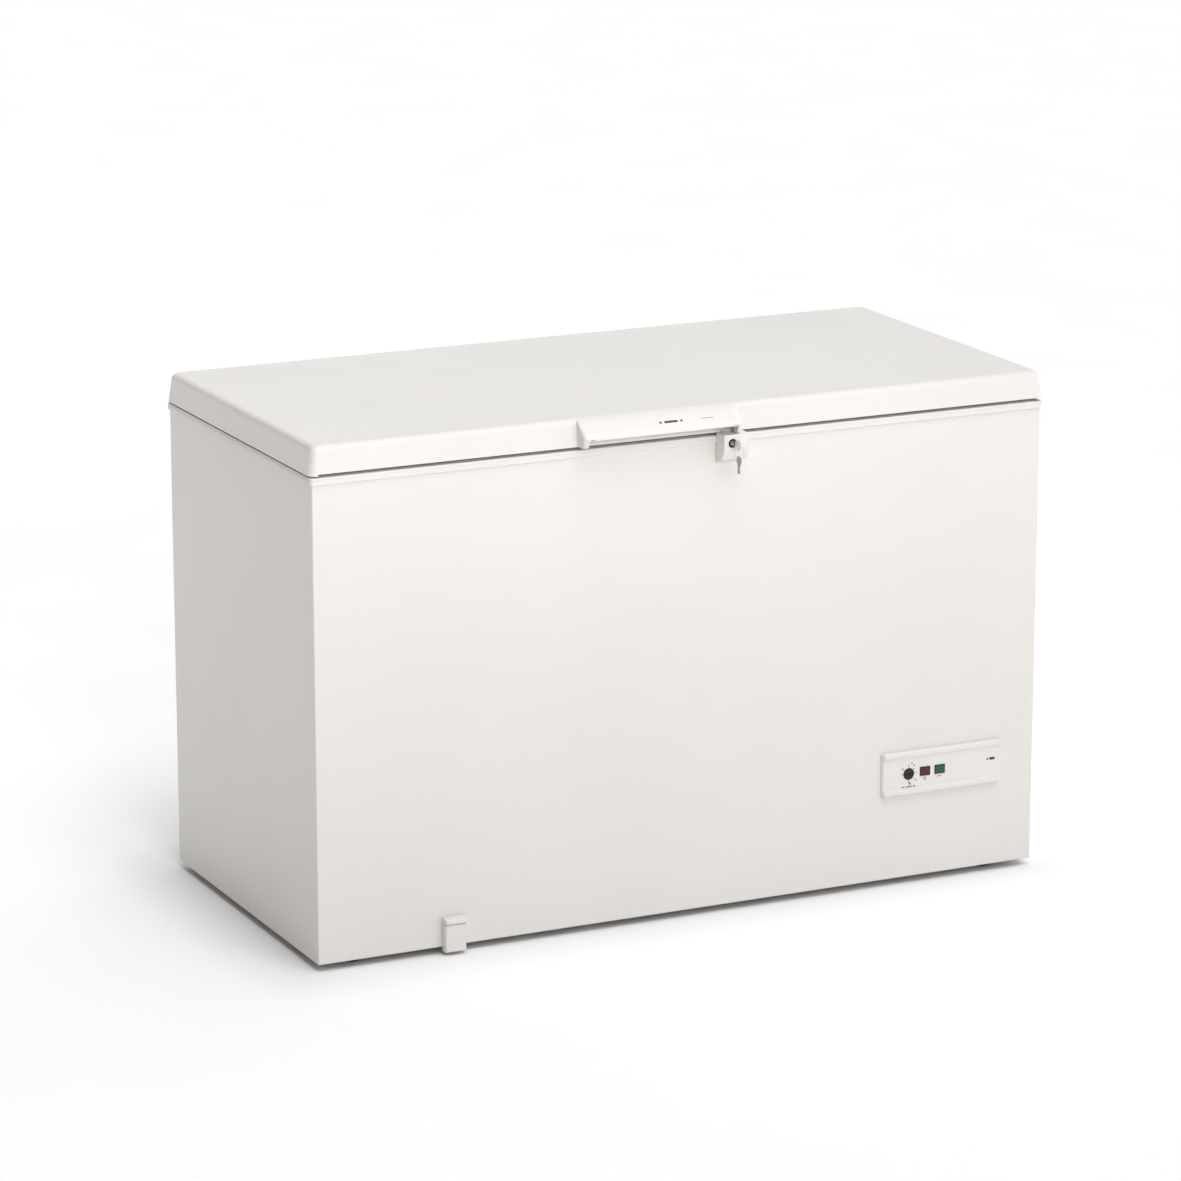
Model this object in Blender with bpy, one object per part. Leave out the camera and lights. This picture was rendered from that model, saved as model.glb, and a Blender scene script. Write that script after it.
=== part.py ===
"""Large chest freezer with a top lid, in metres, +Z up, front towards -Y, +X to its right.

The origin is on the floor, at the centre of the box around the whole freezer. Every solid is
written in world coordinates; the solids that move are parented to an empty on their joint's axis.
"""

import math

import bmesh
import bpy
from mathutils import Vector

# Cabinet
WIDTH = 1.395
DEPTH = 0.655
KEY_REACH = 0.065  # from the front panel to the front of the keys
HINGE_REACH = 0.0175  # from the back panel to the back of the hinge knuckles
FRONT = -(KEY_REACH + DEPTH + HINGE_REACH) / 2 + KEY_REACH
BACK = FRONT + DEPTH
HALF = WIDTH / 2
BASE = 0.0135  # lower edge of the cabinet panels
SHEET = 0.0008
GAP = 0.0003  # between pieces that touch
CORNER = 0.003
FOLD = 0.012  # folded side edges of the front panel
RETURN = 0.014  # folded back edges of the side panels
TRIM_TOP = 0.862
TRIM_LOW = 0.849
TRIM_PROUD = 0.0034
PANEL_TOP = 0.8585

# Insulation and tank
WALL = 0.068
LINER = 0.0012
FLOOR = 0.082
STEP_X = 0.330
STEP_Z = 0.355
TANK_RADIUS = 0.035

# Compressor bay, at the right end under the tank's step
BAY_X = 0.385
BAY_TOP = 0.285
TRAY_Z = 0.0146
TRAY_TOP = 0.0166

# Lid
LID_HALF = 0.7025
LID_FRONT = FRONT - 0.005
LID_BACK = BACK + 0.002
LID_LOW = 0.8652
LID_TOP = 0.916
LID_EDGE = 0.011
LID_SKIN = 0.0015
LID_CORNER = 0.014
LID_LEAN = 0.0055  # how far each end leans in, from the lower edge to the rounded top edge
LID_LEAN_FRONT = 0.0030
LID_LEAN_BACK = 0.0020
LID_BORDER = 0.8700  # lower side of the lid's inner skin, where the gasket is fixed
LID_LINER = 0.0015
DISH_DEPTH = 0.020
FRONT_SKIRT = 0.868
SKIRT_INSET = 0.015
PIVOT_Y = BACK + 0.0115
PIVOT_Z = 0.8665
KNUCKLE = 0.006
PIN = 0.003
HINGE_X = 0.50

# Handle and lock
HANDLE_LEFT = -0.213
HANDLE_RIGHT = 0.088
HANDLE_REACH = 0.038
HANDLE_LIP = 0.883
HANDLE_TIP = 0.869
LOCK_LEFT = 0.052
LOCK_RIGHT = 0.102
LOCK_TOP = 0.8676
LOCK_REACH = 0.033
LOCK_X = 0.068
LOCK_Z = 0.8528
LOCK_R = 0.0076
RING_R = 0.0095

# Control panel
PANEL_LEFT = 0.385
PANEL_RIGHT = 0.630
PANEL_LOW = 0.169
PANEL_HIGH = 0.249
PANEL_REACH = 0.0095
KNOB_X = 0.4395
KNOB_Z = 0.207
KNOB_R = 0.0105
LAMP_Z = 0.2085
RED_X = 0.4725
GREEN_X = 0.5025
LENS = (0.0205, 0.0165)

# Drain
DRAIN_X = -0.448
DRAIN_Y = -0.16
DRAIN_Z = 0.040
DRAIN_BORE = 0.009

# Baskets
BASKET = (0.290, 0.4915, 0.240)
BASKET_RIM = 0.8436
LEDGE_Z = 0.8403
BASKET_Y = (FRONT + BACK) / 2
BASKETS = {"left_basket": -0.470, "right_basket": 0.470}

# Compressor and pipes
COMP_X = 0.548
COMP_Y = 0.150
COMP_R = 0.072
COMP_FOOT_Z = 0.0352
TUBE_R = 0.0024
EVAPORATOR_R = 0.004
BEHIND_PANEL = 0.0065  # from a panel's outer face to the condenser's centre line
JOINT_X = BAY_X + 0.010  # where the pipes from the foam end in the bay
JOINT_Z = BAY_TOP - 0.010
DRIER = (0.42, BACK - 0.035, 0.105)

WHITE = (0.84, 0.83, 0.80)
COLOURS = {
    "enamel": (WHITE, 0.35, 0.0),
    "white_plastic": ((0.86, 0.85, 0.82), 0.40, 0.0),
    "trim_plastic": ((0.80, 0.79, 0.76), 0.45, 0.0),
    "liner_white": ((0.82, 0.83, 0.83), 0.35, 0.0),
    "foam": ((0.80, 0.66, 0.36), 0.90, 0.0),
    "galvanised": ((0.55, 0.56, 0.57), 0.45, 0.9),
    "black_enamel": ((0.02, 0.02, 0.022), 0.40, 0.2),
    "black_plastic": ((0.03, 0.025, 0.025), 0.50, 0.0),
    "rubber": ((0.03, 0.03, 0.03), 0.85, 0.0),
    "gasket": ((0.30, 0.30, 0.29), 0.70, 0.0),
    "copper": ((0.72, 0.40, 0.24), 0.35, 1.0),
    "steel": ((0.60, 0.60, 0.58), 0.35, 1.0),
    "coated_wire": ((0.86, 0.86, 0.85), 0.35, 0.0),
    "red_lens": ((0.20, 0.02, 0.03), 0.15, 0.0),
    "green_lens": ((0.02, 0.14, 0.06), 0.15, 0.0),
}


# ---------------------------------------------------------------- scene helpers


def clear_scene():
    for obj in list(bpy.data.objects):
        bpy.data.objects.remove(obj, do_unlink=True)


def material(name):
    found = bpy.data.materials.get(name)
    if found:
        return found
    colour, roughness, metallic = COLOURS[name]
    made = bpy.data.materials.new(name)
    made.use_nodes = True
    shader = made.node_tree.nodes["Principled BSDF"]
    shader.inputs["Base Color"].default_value = (*colour, 1.0)
    shader.inputs["Roughness"].default_value = roughness
    shader.inputs["Metallic"].default_value = metallic
    return made


def add_empty(name, location, parent=None):
    """An empty on a joint's axis, for the solids that the joint moves."""
    empty = bpy.data.objects.new(name, None)
    bpy.context.scene.collection.objects.link(empty)
    empty.location = Vector(location) - (Vector(parent["at"]) if parent else Vector())
    empty.parent = parent
    empty["at"] = tuple(location)
    return empty


def add_mesh(name, bm, finish, mover=None, smooth=True):
    """Turns a bmesh in world coordinates into the object of that name, under its mover."""
    bmesh.ops.recalc_face_normals(bm, faces=bm.faces)
    if mover:
        bmesh.ops.translate(bm, verts=bm.verts, vec=-Vector(mover["at"]))
    mesh = bpy.data.meshes.new(name)
    bm.to_mesh(mesh)
    bm.free()
    mesh.materials.append(material(finish))
    if smooth:
        mesh.shade_smooth()
        mesh.set_sharp_from_angle(angle=math.radians(35))
    obj = bpy.data.objects.new(name, mesh)
    bpy.context.scene.collection.objects.link(obj)
    obj.parent = mover
    return obj


def add_tube(name, points, radius, finish, sides=6):
    """A round solid tube along a polyline in world coordinates."""
    return add_mesh(name, loft(sweep(points, radius, sides)), finish)


def combine(obj, bm, operation="DIFFERENCE"):
    """Cuts obj by the closed shape in bm, or joins the two with UNION."""
    helper = add_mesh(f"{obj.name}.tool{len(obj.modifiers)}", bm, "steel", obj.parent)
    hide_helper(helper)
    modifier = obj.modifiers.new(operation.lower(), "BOOLEAN")
    modifier.operation = operation
    modifier.object = helper
    return obj


def hide_helper(helper):
    helper.hide_render = True
    helper.display_type = "WIRE"


# ---------------------------------------------------------------- shape helpers


def rounded_rect(x0, x1, y0, y1, radius, z, steps=3):
    """Points anticlockwise round a rectangle with round corners, at height z."""
    points = []
    for cx, cy, start in (
        (x1 - radius, y0 + radius, -90),
        (x1 - radius, y1 - radius, 0),
        (x0 + radius, y1 - radius, 90),
        (x0 + radius, y0 + radius, 180),
    ):
        for i in range(steps + 1):
            angle = math.radians(start + 90 * i / steps)
            points.append((cx + radius * math.cos(angle), cy + radius * math.sin(angle), z))
    return points


def loft(rings, closed=False):
    """A closed body through rings of equal length, capped at both ends unless it closes on itself."""
    bm = bmesh.new()
    rows = [[bm.verts.new(point) for point in ring] for ring in rings]
    count = len(rows[0])
    pairs = list(zip(rows, rows[1:])) + ([(rows[-1], rows[0])] if closed else [])
    for low, high in pairs:
        for i in range(count):
            j = (i + 1) % count
            bm.faces.new((low[i], low[j], high[j], high[i]))
    if not closed:
        bm.faces.new(rows[0])
        bm.faces.new(rows[-1])
    return bm


def box(x0, x1, y0, y1, z0, z1):
    bm = bmesh.new()
    bmesh.ops.create_cube(bm, size=1.0)
    for vert in bm.verts:
        vert.co.x = x1 if vert.co.x > 0 else x0
        vert.co.y = y1 if vert.co.y > 0 else y0
        vert.co.z = z1 if vert.co.z > 0 else z0
    return bm


def soft_box(x0, x1, y0, y1, z0, z1, radius, segments=2):
    bm = box(x0, x1, y0, y1, z0, z1)
    bmesh.ops.bevel(bm, geom=bm.edges[:], offset=radius, segments=segments, profile=0.5, affect="EDGES")
    return bm


def prism(outline, low, high, axis="X"):
    """An outline extruded along one axis. On X it holds (y, z), on Y (x, z) and on Z (x, y)."""
    place = {
        "X": lambda a, b, c: (c, a, b),
        "Y": lambda a, b, c: (a, c, b),
        "Z": lambda a, b, c: (a, b, c),
    }[axis]
    return loft([[place(a, b, c) for a, b in outline] for c in (low, high)])


def arc(cx, cy, radius, start, end, steps):
    """Points of an arc, from one angle in degrees to another."""
    angles = [math.radians(start + (end - start) * i / steps) for i in range(steps + 1)]
    return [(cx + radius * math.cos(a), cy + radius * math.sin(a)) for a in angles]


def circle(cx, cy, radius, steps=24):
    return arc(cx, cy, radius, 0, 360 * (steps - 1) / steps, steps - 1)


def turned(profile, centre, axis, steps=24, closed=False):
    """A body of revolution. The profile holds (radius, distance along the axis) from the centre."""
    frame = {
        "X": lambda u, v, w: (w, u, v),
        "Y": lambda u, v, w: (u, w, v),
        "Z": lambda u, v, w: (u, v, w),
    }[axis]
    rings = []
    for radius, along in profile:
        ring = [frame(*point, along) for point in circle(0, 0, radius, steps)]
        rings.append([Vector(centre) + Vector(point) for point in ring])
    return loft(rings, closed)


def rod(centre, axis, radius, low, high, steps=24):
    return turned([(radius, low), (radius, high)], centre, axis, steps)


def bush(centre, axis, outer, inner, low, high, steps=24):
    """A short tube with its bore right through."""
    profile = [(outer, low), (outer, high), (inner, high), (inner, low)]
    return turned(profile, centre, axis, steps, closed=True)


def merge(*bodies):
    """Several closed shapes in one bmesh, for one Boolean with all of them."""
    whole = bmesh.new()
    for body in bodies:
        mesh = bpy.data.meshes.new("piece")
        bmesh.ops.recalc_face_normals(body, faces=body.faces)
        body.to_mesh(mesh)
        body.free()
        whole.from_mesh(mesh)
        bpy.data.meshes.remove(mesh)
    return whole


def sweep(points, radius, sides):
    """Rings of a round section carried along a polyline without twist."""
    route = [Vector(point) for point in points]
    ahead = (route[1] - route[0]).normalized()
    across = ahead.orthogonal().normalized()
    rings = []
    for i, here in enumerate(route):
        before = (here - route[i - 1]).normalized() if i else ahead
        after = (route[i + 1] - here).normalized() if i < len(route) - 1 else before
        along = (before + after).normalized()
        across = (across - along * across.dot(along)).normalized()
        up = along.cross(across)
        ring = []
        for k in range(sides):
            turn = 2 * math.pi * (k + 0.5) / sides
            ring.append(here + radius * (math.cos(turn) * across + math.sin(turn) * up))
        rings.append(ring)
    return rings


def round_path(corners, radius, steps=2):
    """The corners of a route with each inner one rounded, as points along the route."""
    route = [Vector(corner) for corner in corners]
    points = [route[0]]
    for before, here, after in zip(route, route[1:], route[2:]):
        inward = (before - here).normalized()
        onward = (after - here).normalized()
        half = inward.angle(onward) / 2
        reach = min(radius / math.tan(half), 0.45 * (before - here).length, 0.45 * (after - here).length)
        start, end = here + inward * reach, here + onward * reach
        for i in range(steps + 1):
            t = i / steps
            points.append(start * (1 - t) ** 2 + here * 2 * t * (1 - t) + end * t**2)
    points.append(route[-1])
    return [tuple(point) for point in points]


# ---------------------------------------------------------------- cabinet


def front_panel():
    """Sheet with folded returns down both sides and along the bottom."""
    deep = FRONT + FOLD
    outer = [
        (-HALF, deep),
        *arc(-HALF + CORNER, FRONT + CORNER, CORNER, 180, 270, 3),
        *arc(HALF - CORNER, FRONT + CORNER, CORNER, 270, 360, 3),
        (HALF, deep),
    ]
    inner_r = CORNER - SHEET
    inner = [
        (HALF - SHEET, deep),
        *arc(HALF - CORNER, FRONT + CORNER, inner_r, 360, 270, 3),
        *arc(-HALF + CORNER, FRONT + CORNER, inner_r, 270, 180, 3),
        (-HALF + SHEET, deep),
    ]
    panel = add_mesh("front_panel", prism(outer + inner, BASE, PANEL_TOP, "Z"), "enamel")
    flange = box(-HALF + 0.004, HALF - 0.004, FRONT + SHEET / 2, FRONT + 0.014, BASE, BASE + SHEET)
    combine(panel, flange, "UNION")
    window = box(0.424, 0.5185, FRONT - 0.01, FRONT + 0.01, 0.188, 0.229)
    outlet = rod((DRAIN_X, FRONT, DRAIN_Z), "Y", 0.0125, -0.01, 0.01)
    combine(panel, merge(window, outlet))


def side_panel(name, side):
    """Sheet with a folded return round the back corner. side is -1 on the left, 1 on the right."""
    outer = [
        (side * HALF, FRONT + FOLD + GAP),
        *[(side * x, y) for x, y in arc(HALF - CORNER, BACK - CORNER, CORNER, 0, 90, 3)],
        (side * (HALF - RETURN), BACK),
    ]
    inner = [
        (side * (HALF - RETURN), BACK - SHEET),
        *[(side * x, y) for x, y in arc(HALF - CORNER, BACK - CORNER, CORNER - SHEET, 90, 0, 3)],
        (side * (HALF - SHEET), FRONT + FOLD + GAP),
    ]
    add_mesh(name, prism(outer + inner, BASE, PANEL_TOP, "Z"), "enamel")


def back_panel():
    wide = HALF - RETURN - GAP
    panel = add_mesh(
        "back_panel", box(-wide, wide, BACK - SHEET, BACK, BASE, PANEL_TOP), "galvanised"
    )
    combine(panel, box(BAY_X + 0.02, HALF - 0.03, BACK - 0.01, BACK + 0.01, 0.045, 0.262))


def floor_sheets():
    low, high = FRONT + CORNER, BACK - CORNER
    edge = HALF - SHEET - GAP
    add_mesh("base_panel", box(-edge, BAY_X - 0.001, low, high, TRAY_Z, TRAY_Z + SHEET), "galvanised")
    tray = add_mesh("compressor_tray", box(BAY_X, edge, low, high, TRAY_Z, TRAY_TOP), "galvanised")
    slots = [
        prism(slot_outline(0.45 + 0.05 * i, -0.17, 0.008, 0.09), TRAY_Z - 0.01, TRAY_TOP + 0.01, "Z")
        for i in range(4)
    ]
    combine(tray, merge(*slots))


def slot_outline(cx, cy, width, length):
    """A slot with round ends, its long side along the second coordinate."""
    reach = (length - width) / 2
    return arc(cx, cy + reach, width / 2, 0, 180, 4) + arc(cx, cy - reach, width / 2, 180, 360, 4)


def tank_shape(grow, top):
    """The inside of the tank with its step, grown outwards, open upwards to the given height."""
    x0, x1 = -HALF + WALL - grow, HALF - WALL + grow
    y0, y1 = FRONT + WALL - grow, BACK - WALL + grow
    outline = [
        (x0, FLOOR - grow),
        (STEP_X + grow, FLOOR - grow),
        (STEP_X + grow, STEP_Z - grow),
        (x1, STEP_Z - grow),
        (x1, top),
        (x0, top),
    ]
    bm = prism(outline, y0, y1, "Y")
    upright = [
        edge
        for edge in bm.edges
        if abs(edge.verts[0].co.x - edge.verts[1].co.x) < 1e-6
        and abs(edge.verts[0].co.y - edge.verts[1].co.y) < 1e-6
        and abs(edge.verts[0].co.x - STEP_X - grow) > 1e-3
    ]
    radius = TANK_RADIUS + grow
    bmesh.ops.bevel(bm, geom=upright, offset=radius, segments=3, profile=0.5, affect="EDGES")
    return bm


def cabinet_foam(tunnels):
    edge = HALF - SHEET - GAP
    low = FRONT + SHEET + GAP
    high = BACK - SHEET - GAP
    corner = CORNER - SHEET
    outline = rounded_rect(-edge, edge, low, high, corner, 0.0, 2)
    flat = [(x, y) for x, y, _ in outline]
    foam = add_mesh("cabinet_foam", prism(flat, TRAY_Z + SHEET + GAP, PANEL_TOP, "Z"), "foam")
    combine(foam, tank_shape(LINER + GAP, 1.0))
    sheet_left = BAY_X - SHEET - GAP
    combine(foam, box(sheet_left, 1.0, -1.0, 1.0, -1.0, BAY_TOP + SHEET + GAP))
    for route, radius, sides in tunnels:
        combine(foam, loft(sweep(route, radius, sides)))


def bay_liner(routes):
    """Sheet that closes the foam off from the compressor bay: its left wall and its ceiling."""
    outline = [
        (BAY_X - SHEET, TRAY_TOP + GAP),
        (BAY_X, TRAY_TOP + GAP),
        (BAY_X, BAY_TOP),
        (HALF - SHEET - GAP, BAY_TOP),
        (HALF - SHEET - GAP, BAY_TOP + SHEET),
        (BAY_X - SHEET, BAY_TOP + SHEET),
    ]
    low, high = FRONT + CORNER, BACK - CORNER
    sheet = add_mesh("bay_liner", prism(outline, low, high, "Y"), "galvanised")
    holes = []
    for place, axis in routes:
        holes.append(rod(place, axis, 0.008, -0.02, 0.02, 12))
    combine(sheet, merge(*holes))


def inner_liner():
    liner = add_mesh("inner_liner", tank_shape(LINER, PANEL_TOP), "liner_white")
    combine(liner, tank_shape(0.0, 1.0))
    combine(liner, rod((DRAIN_X, DRAIN_Y, FLOOR), "Z", DRAIN_BORE, -0.01, 0.01, 16))


def rim_frame():
    """The moulded frame round the tank's mouth, with a ledge inside that carries the baskets."""
    outer = (HALF + TRIM_PROUD, FRONT - TRIM_PROUD, BACK + TRIM_PROUD)
    under = PANEL_TOP + GAP
    profile = [
        (0.0, TRIM_LOW, 0.006),
        (0.0, TRIM_TOP - 0.003, 0.006),
        (0.0009, TRIM_TOP - 0.0009, 0.006),
        (0.003, TRIM_TOP, 0.006),
        (0.0720, TRIM_TOP, 0.0345),
        (0.0742, TRIM_TOP - 0.002, 0.0325),
        (0.0742, LEDGE_Z, 0.0325),
        (0.0830, LEDGE_Z, 0.0255),
        (0.0830, LEDGE_Z - 0.0023, 0.0255),
        (0.0719, LEDGE_Z - 0.0023, 0.0345),
        (0.0719, under, 0.0345),
        (0.0031, under, 0.003),
        (0.0031, TRIM_LOW, 0.003),
    ]
    rings = [
        rounded_rect(-outer[0] + i, outer[0] - i, outer[1] + i, outer[2] - i, radius, z, 3)
        for i, z, radius in profile
    ]
    add_mesh("rim_frame", loft(rings, closed=True), "trim_plastic")


def feet():
    for name, x, y in (
        ("foot_front_left", -0.62, FRONT + 0.05),
        ("foot_front_right", 0.62, FRONT + 0.05),
        ("foot_back_left", -0.62, BACK - 0.05),
        ("foot_back_right", 0.62, BACK - 0.05),
    ):
        top = TRAY_Z - GAP
        profile = [(0.020, 0.0), (0.022, 0.003), (0.022, 0.008), (0.016, 0.010), (0.016, top)]
        add_mesh(name, turned(profile, (x, y, 0), "Z", 16), "black_plastic")


# ---------------------------------------------------------------- refrigeration


def condenser_route():
    """Five passes inside the front, left and back panels, joined by bends, ending in the bay."""
    front, back, left = FRONT + BEHIND_PANEL, BACK - BEHIND_PANEL, -HALF + BEHIND_PANEL
    rise, bend_x, radius, end_x = 0.15, 0.285, 0.035, DRIER[0]
    points = [(JOINT_X, front, 0.12)]
    for level in range(5):
        z = 0.12 + rise * level
        corners = [(left, front, z), (left, back, z)]
        ends = [(bend_x, front, z), (bend_x, back, z)]
        if level % 2:
            corners.reverse()
            ends.reverse()
        start = points[-1] if level == 0 else ends[0]
        finish = (end_x, back, z) if level == 4 else ends[1]
        points += round_path([start, *corners, finish], radius)[1 if level == 0 else 0 :]
        if level < 4:
            centre = z + rise / 2
            bend = arc(bend_x, centre, rise / 2, -90, 90, 6)[1:-1]
            points += [(x, ends[1][1], height) for x, height in bend]
    down = round_path([points[-2], (end_x, back, 0.72), (end_x, back, JOINT_Z)], radius)
    return points[:-1] + down[1:]


def evaporator_route():
    """Turns round the deep part of the tank, then round its full width, then down to the bay."""
    away = LINER + EVAPORATOR_R + 0.0023
    left, right, deep = -HALF + WALL - away, HALF - WALL + away, STEP_X + away
    front, back = FRONT + WALL - away, BACK - WALL + away
    lower = [(JOINT_X, 0.05, 0.12), (deep, 0.05, 0.12)]
    z = 0.13
    for _ in range(3):
        lower += [(deep, front, z), (left, front, z + 0.015), (left, back, z + 0.025)]
        lower += [(deep, back, z + 0.04)]
        z += 0.055
    lower += [(deep, front, z), (0.0, front, z + 0.04)]
    upper = [lower[-1], (left, front, z + 0.10), (left, back, z + 0.115)]
    z += 0.135
    for _ in range(3):
        upper += [(right, back, z), (right, front, z + 0.015), (left, front, z + 0.035)]
        upper += [(left, back, z + 0.05)]
        z += 0.07
    outward = back + 0.015
    upper += [(0.50, back, z), (0.50, outward, z + 0.012), (0.50, outward, JOINT_Z)]
    return round_path(lower, 0.011) + round_path(upper, 0.03)[1:]


def compressor():
    top = 0.212
    profile = [
        (0.035, 0.0),
        (0.060, 0.008),
        (COMP_R, 0.030),
        (COMP_R, 0.083),
        (COMP_R + 0.003, 0.084),
        (COMP_R + 0.003, 0.089),
        (COMP_R, 0.090),
        (COMP_R - 0.002, 0.130),
        (0.056, 0.160),
        (0.030, top - COMP_FOOT_Z - 0.003),
    ]
    base = COMP_FOOT_Z + 0.0026
    shell = add_mesh("compressor", turned(profile, (COMP_X, COMP_Y, base), "Z", 24), "black_enamel")
    foot = prism(
        [(x, y) for x, y, _ in rounded_rect(-0.105, 0.105, -0.066, 0.066, 0.012, 0)],
        COMP_FOOT_Z,
        COMP_FOOT_Z + 0.003,
        "Z",
    )
    bmesh.ops.translate(foot, verts=foot.verts, vec=(COMP_X, COMP_Y, 0))
    combine(shell, foot, "UNION")
    pad = box(COMP_X - 0.018, COMP_X + 0.018, COMP_Y - COMP_R - 0.004, COMP_Y - 0.05, 0.095, 0.135)
    combine(shell, pad, "UNION")
    holes = [rod((x, y, COMP_FOOT_Z), "Z", 0.0065, -0.01, 0.01, 12) for x, y in mount_places()]
    combine(shell, merge(*holes))


def mount_places():
    return [(COMP_X + x, COMP_Y + y) for x in (-0.090, 0.090) for y in (-0.050, 0.050)]


def compressor_mounts():
    """Rubber grommets between the tray and the compressor's foot plate, each with a neck."""
    for number, (x, y) in enumerate(mount_places(), 1):
        height = COMP_FOOT_Z - GAP - (TRAY_TOP + GAP)
        profile = [
            (0.0125, 0.0),
            (0.0125, 0.006),
            (0.0095, 0.009),
            (0.0120, height),
            (0.0060, height),
            (0.0060, height + 0.008),
        ]
        body = turned(profile, (x, y, TRAY_TOP + GAP), "Z", 12)
        add_mesh(f"compressor_mount_{number}", body, "rubber")


def relay_cover():
    back = COMP_Y - COMP_R - 0.004 - GAP
    body = soft_box(COMP_X - 0.028, COMP_X + 0.028, back - 0.036, back, 0.080, 0.150, 0.004)
    add_mesh("relay_cover", body, "black_plastic")


def filter_drier():
    """Drier capsule with the liquid pipe brazed into its top."""
    x, y, z = DRIER
    profile = [(0.0026, 0.0), (0.0026, 0.012), (0.0085, 0.022), (0.0085, 0.090), (0.0035, 0.100)]
    profile += [(0.0035, 0.112)]
    drier = add_mesh("filter_drier", turned(profile, (x, y, z), "Z", 12), "copper")
    liquid = [
        (x, BACK - BEHIND_PANEL, JOINT_Z - GAP),
        (x, BACK - BEHIND_PANEL, 0.255),
        (x, y, 0.240),
        (x, y, z + 0.105),
    ]
    combine(drier, loft(sweep(round_path(liquid, 0.010), TUBE_R, 6)), "UNION")


def bay_tubes():
    """The pipes inside the bay, each ending just short of what it is brazed to."""
    side = COMP_X + COMP_R - 0.0005
    discharge = [
        (side + 0.002, COMP_Y - 0.01, 0.150),
        (side + 0.035, COMP_Y - 0.01, 0.150),
        (side + 0.035, COMP_Y - 0.01, 0.060),
        (side + 0.035, FRONT + 0.0650, 0.060),
        (BAY_X + 0.060, FRONT + 0.0650, 0.060),
        (BAY_X + 0.060, FRONT + 0.0650, 0.12),
        (BAY_X + 0.060, FRONT + BEHIND_PANEL, 0.12),
        (JOINT_X + GAP, FRONT + BEHIND_PANEL, 0.12),
    ]
    add_tube("discharge_tube", round_path(discharge, 0.015), TUBE_R, "copper")
    outward = BACK - WALL + LINER + EVAPORATOR_R + 0.0023 + 0.015
    suction = [
        (0.50, outward, JOINT_Z - GAP),
        (0.50, outward, 0.250),
        (0.50, COMP_Y + COMP_R + 0.030, 0.250),
        (COMP_X, COMP_Y + COMP_R + 0.030, 0.170),
        (COMP_X, COMP_Y + COMP_R + 0.002, 0.140),
    ]
    add_tube("suction_tube", round_path(suction, 0.015), 0.0035, "copper")
    add_tube("capillary_tube", capillary_route(), 0.0012, "copper")


def capillary_route():
    """Thin tube from the drier, wound three times, to the evaporator's inlet."""
    cx, cy, radius = 0.435, 0.190, 0.022
    x, y, z = DRIER
    points = [(x, y, z - GAP), (x, y, 0.085)]
    points += [(cx, 0.26, 0.070)]
    turns, steps = 3, 10
    for i in range(turns * steps + 1):
        angle = 2 * math.pi * i / steps
        points.append((cx + radius * math.cos(angle), cy + radius * math.sin(angle), 0.070 - 0.0015 * i / 2))
    end = JOINT_X + GAP
    points += [(cx + radius, 0.14, 0.050), (0.425, 0.07, 0.100), (end + 0.010, 0.05, 0.12), (end, 0.05, 0.12)]
    return points


# ---------------------------------------------------------------- drain


def drain_tube_route():
    return round_path(
        [
            (DRAIN_X, DRAIN_Y, FLOOR - LINER - GAP),
            (DRAIN_X, DRAIN_Y, DRAIN_Z),
            (DRAIN_X, FRONT + 0.0020, DRAIN_Z),
        ],
        0.018,
        3,
    )


def drain_tube():
    """Plastic pipe from the tank's floor to the outlet in the front panel, open right through."""
    outer, inner = (sweep(drain_tube_route(), radius, 12) for radius in (0.0110, DRAIN_BORE))
    add_mesh("drain_tube", loft(outer + inner[::-1], closed=True), "white_plastic")


def drain_plug(mover):
    profile = [(0.0065, -0.018), (0.0082, -0.002), (0.0082, 0.0005), (0.0160, 0.0005), (0.0160, 0.0035)]
    profile += [(0.0045, 0.0045), (0.0045, 0.0110), (0.0075, 0.0120), (0.0075, 0.0150), (0.005, 0.0160)]
    add_mesh("drain_plug", turned(profile, (DRAIN_X, DRAIN_Y, FLOOR), "Z", 16), "rubber", mover)


def drain_cover(mover):
    """Cap over the drain outlet, with a pull lip along its top and a spigot inside the pipe."""
    x0, x1 = DRAIN_X - 0.020, DRAIN_X + 0.020
    low, high, lip = 0.0068, 0.0675, 0.0575
    face, proud = FRONT - 0.0150, FRONT - 0.0180
    outline = [
        (FRONT - GAP, low),
        (FRONT - GAP, high),
        (proud + 0.002, high),
        (proud, high - 0.002),
        (proud, lip + 0.001),
        (face, lip),
        (face, low + 0.002),
        (face + 0.002, low),
    ]
    cover = add_mesh("drain_cover", prism(outline, x0, x1), "white_plastic", mover)
    hollow = box(x0 + 0.002, x1 - 0.002, face + 0.002, FRONT + 0.01, low + 0.002, high - 0.002)
    combine(cover, hollow)
    spigot = bush((DRAIN_X, FRONT, DRAIN_Z), "Y", 0.0080, 0.0062, -0.0140, 0.058, 12)
    combine(cover, spigot, "UNION")


# ---------------------------------------------------------------- control panel


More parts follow.
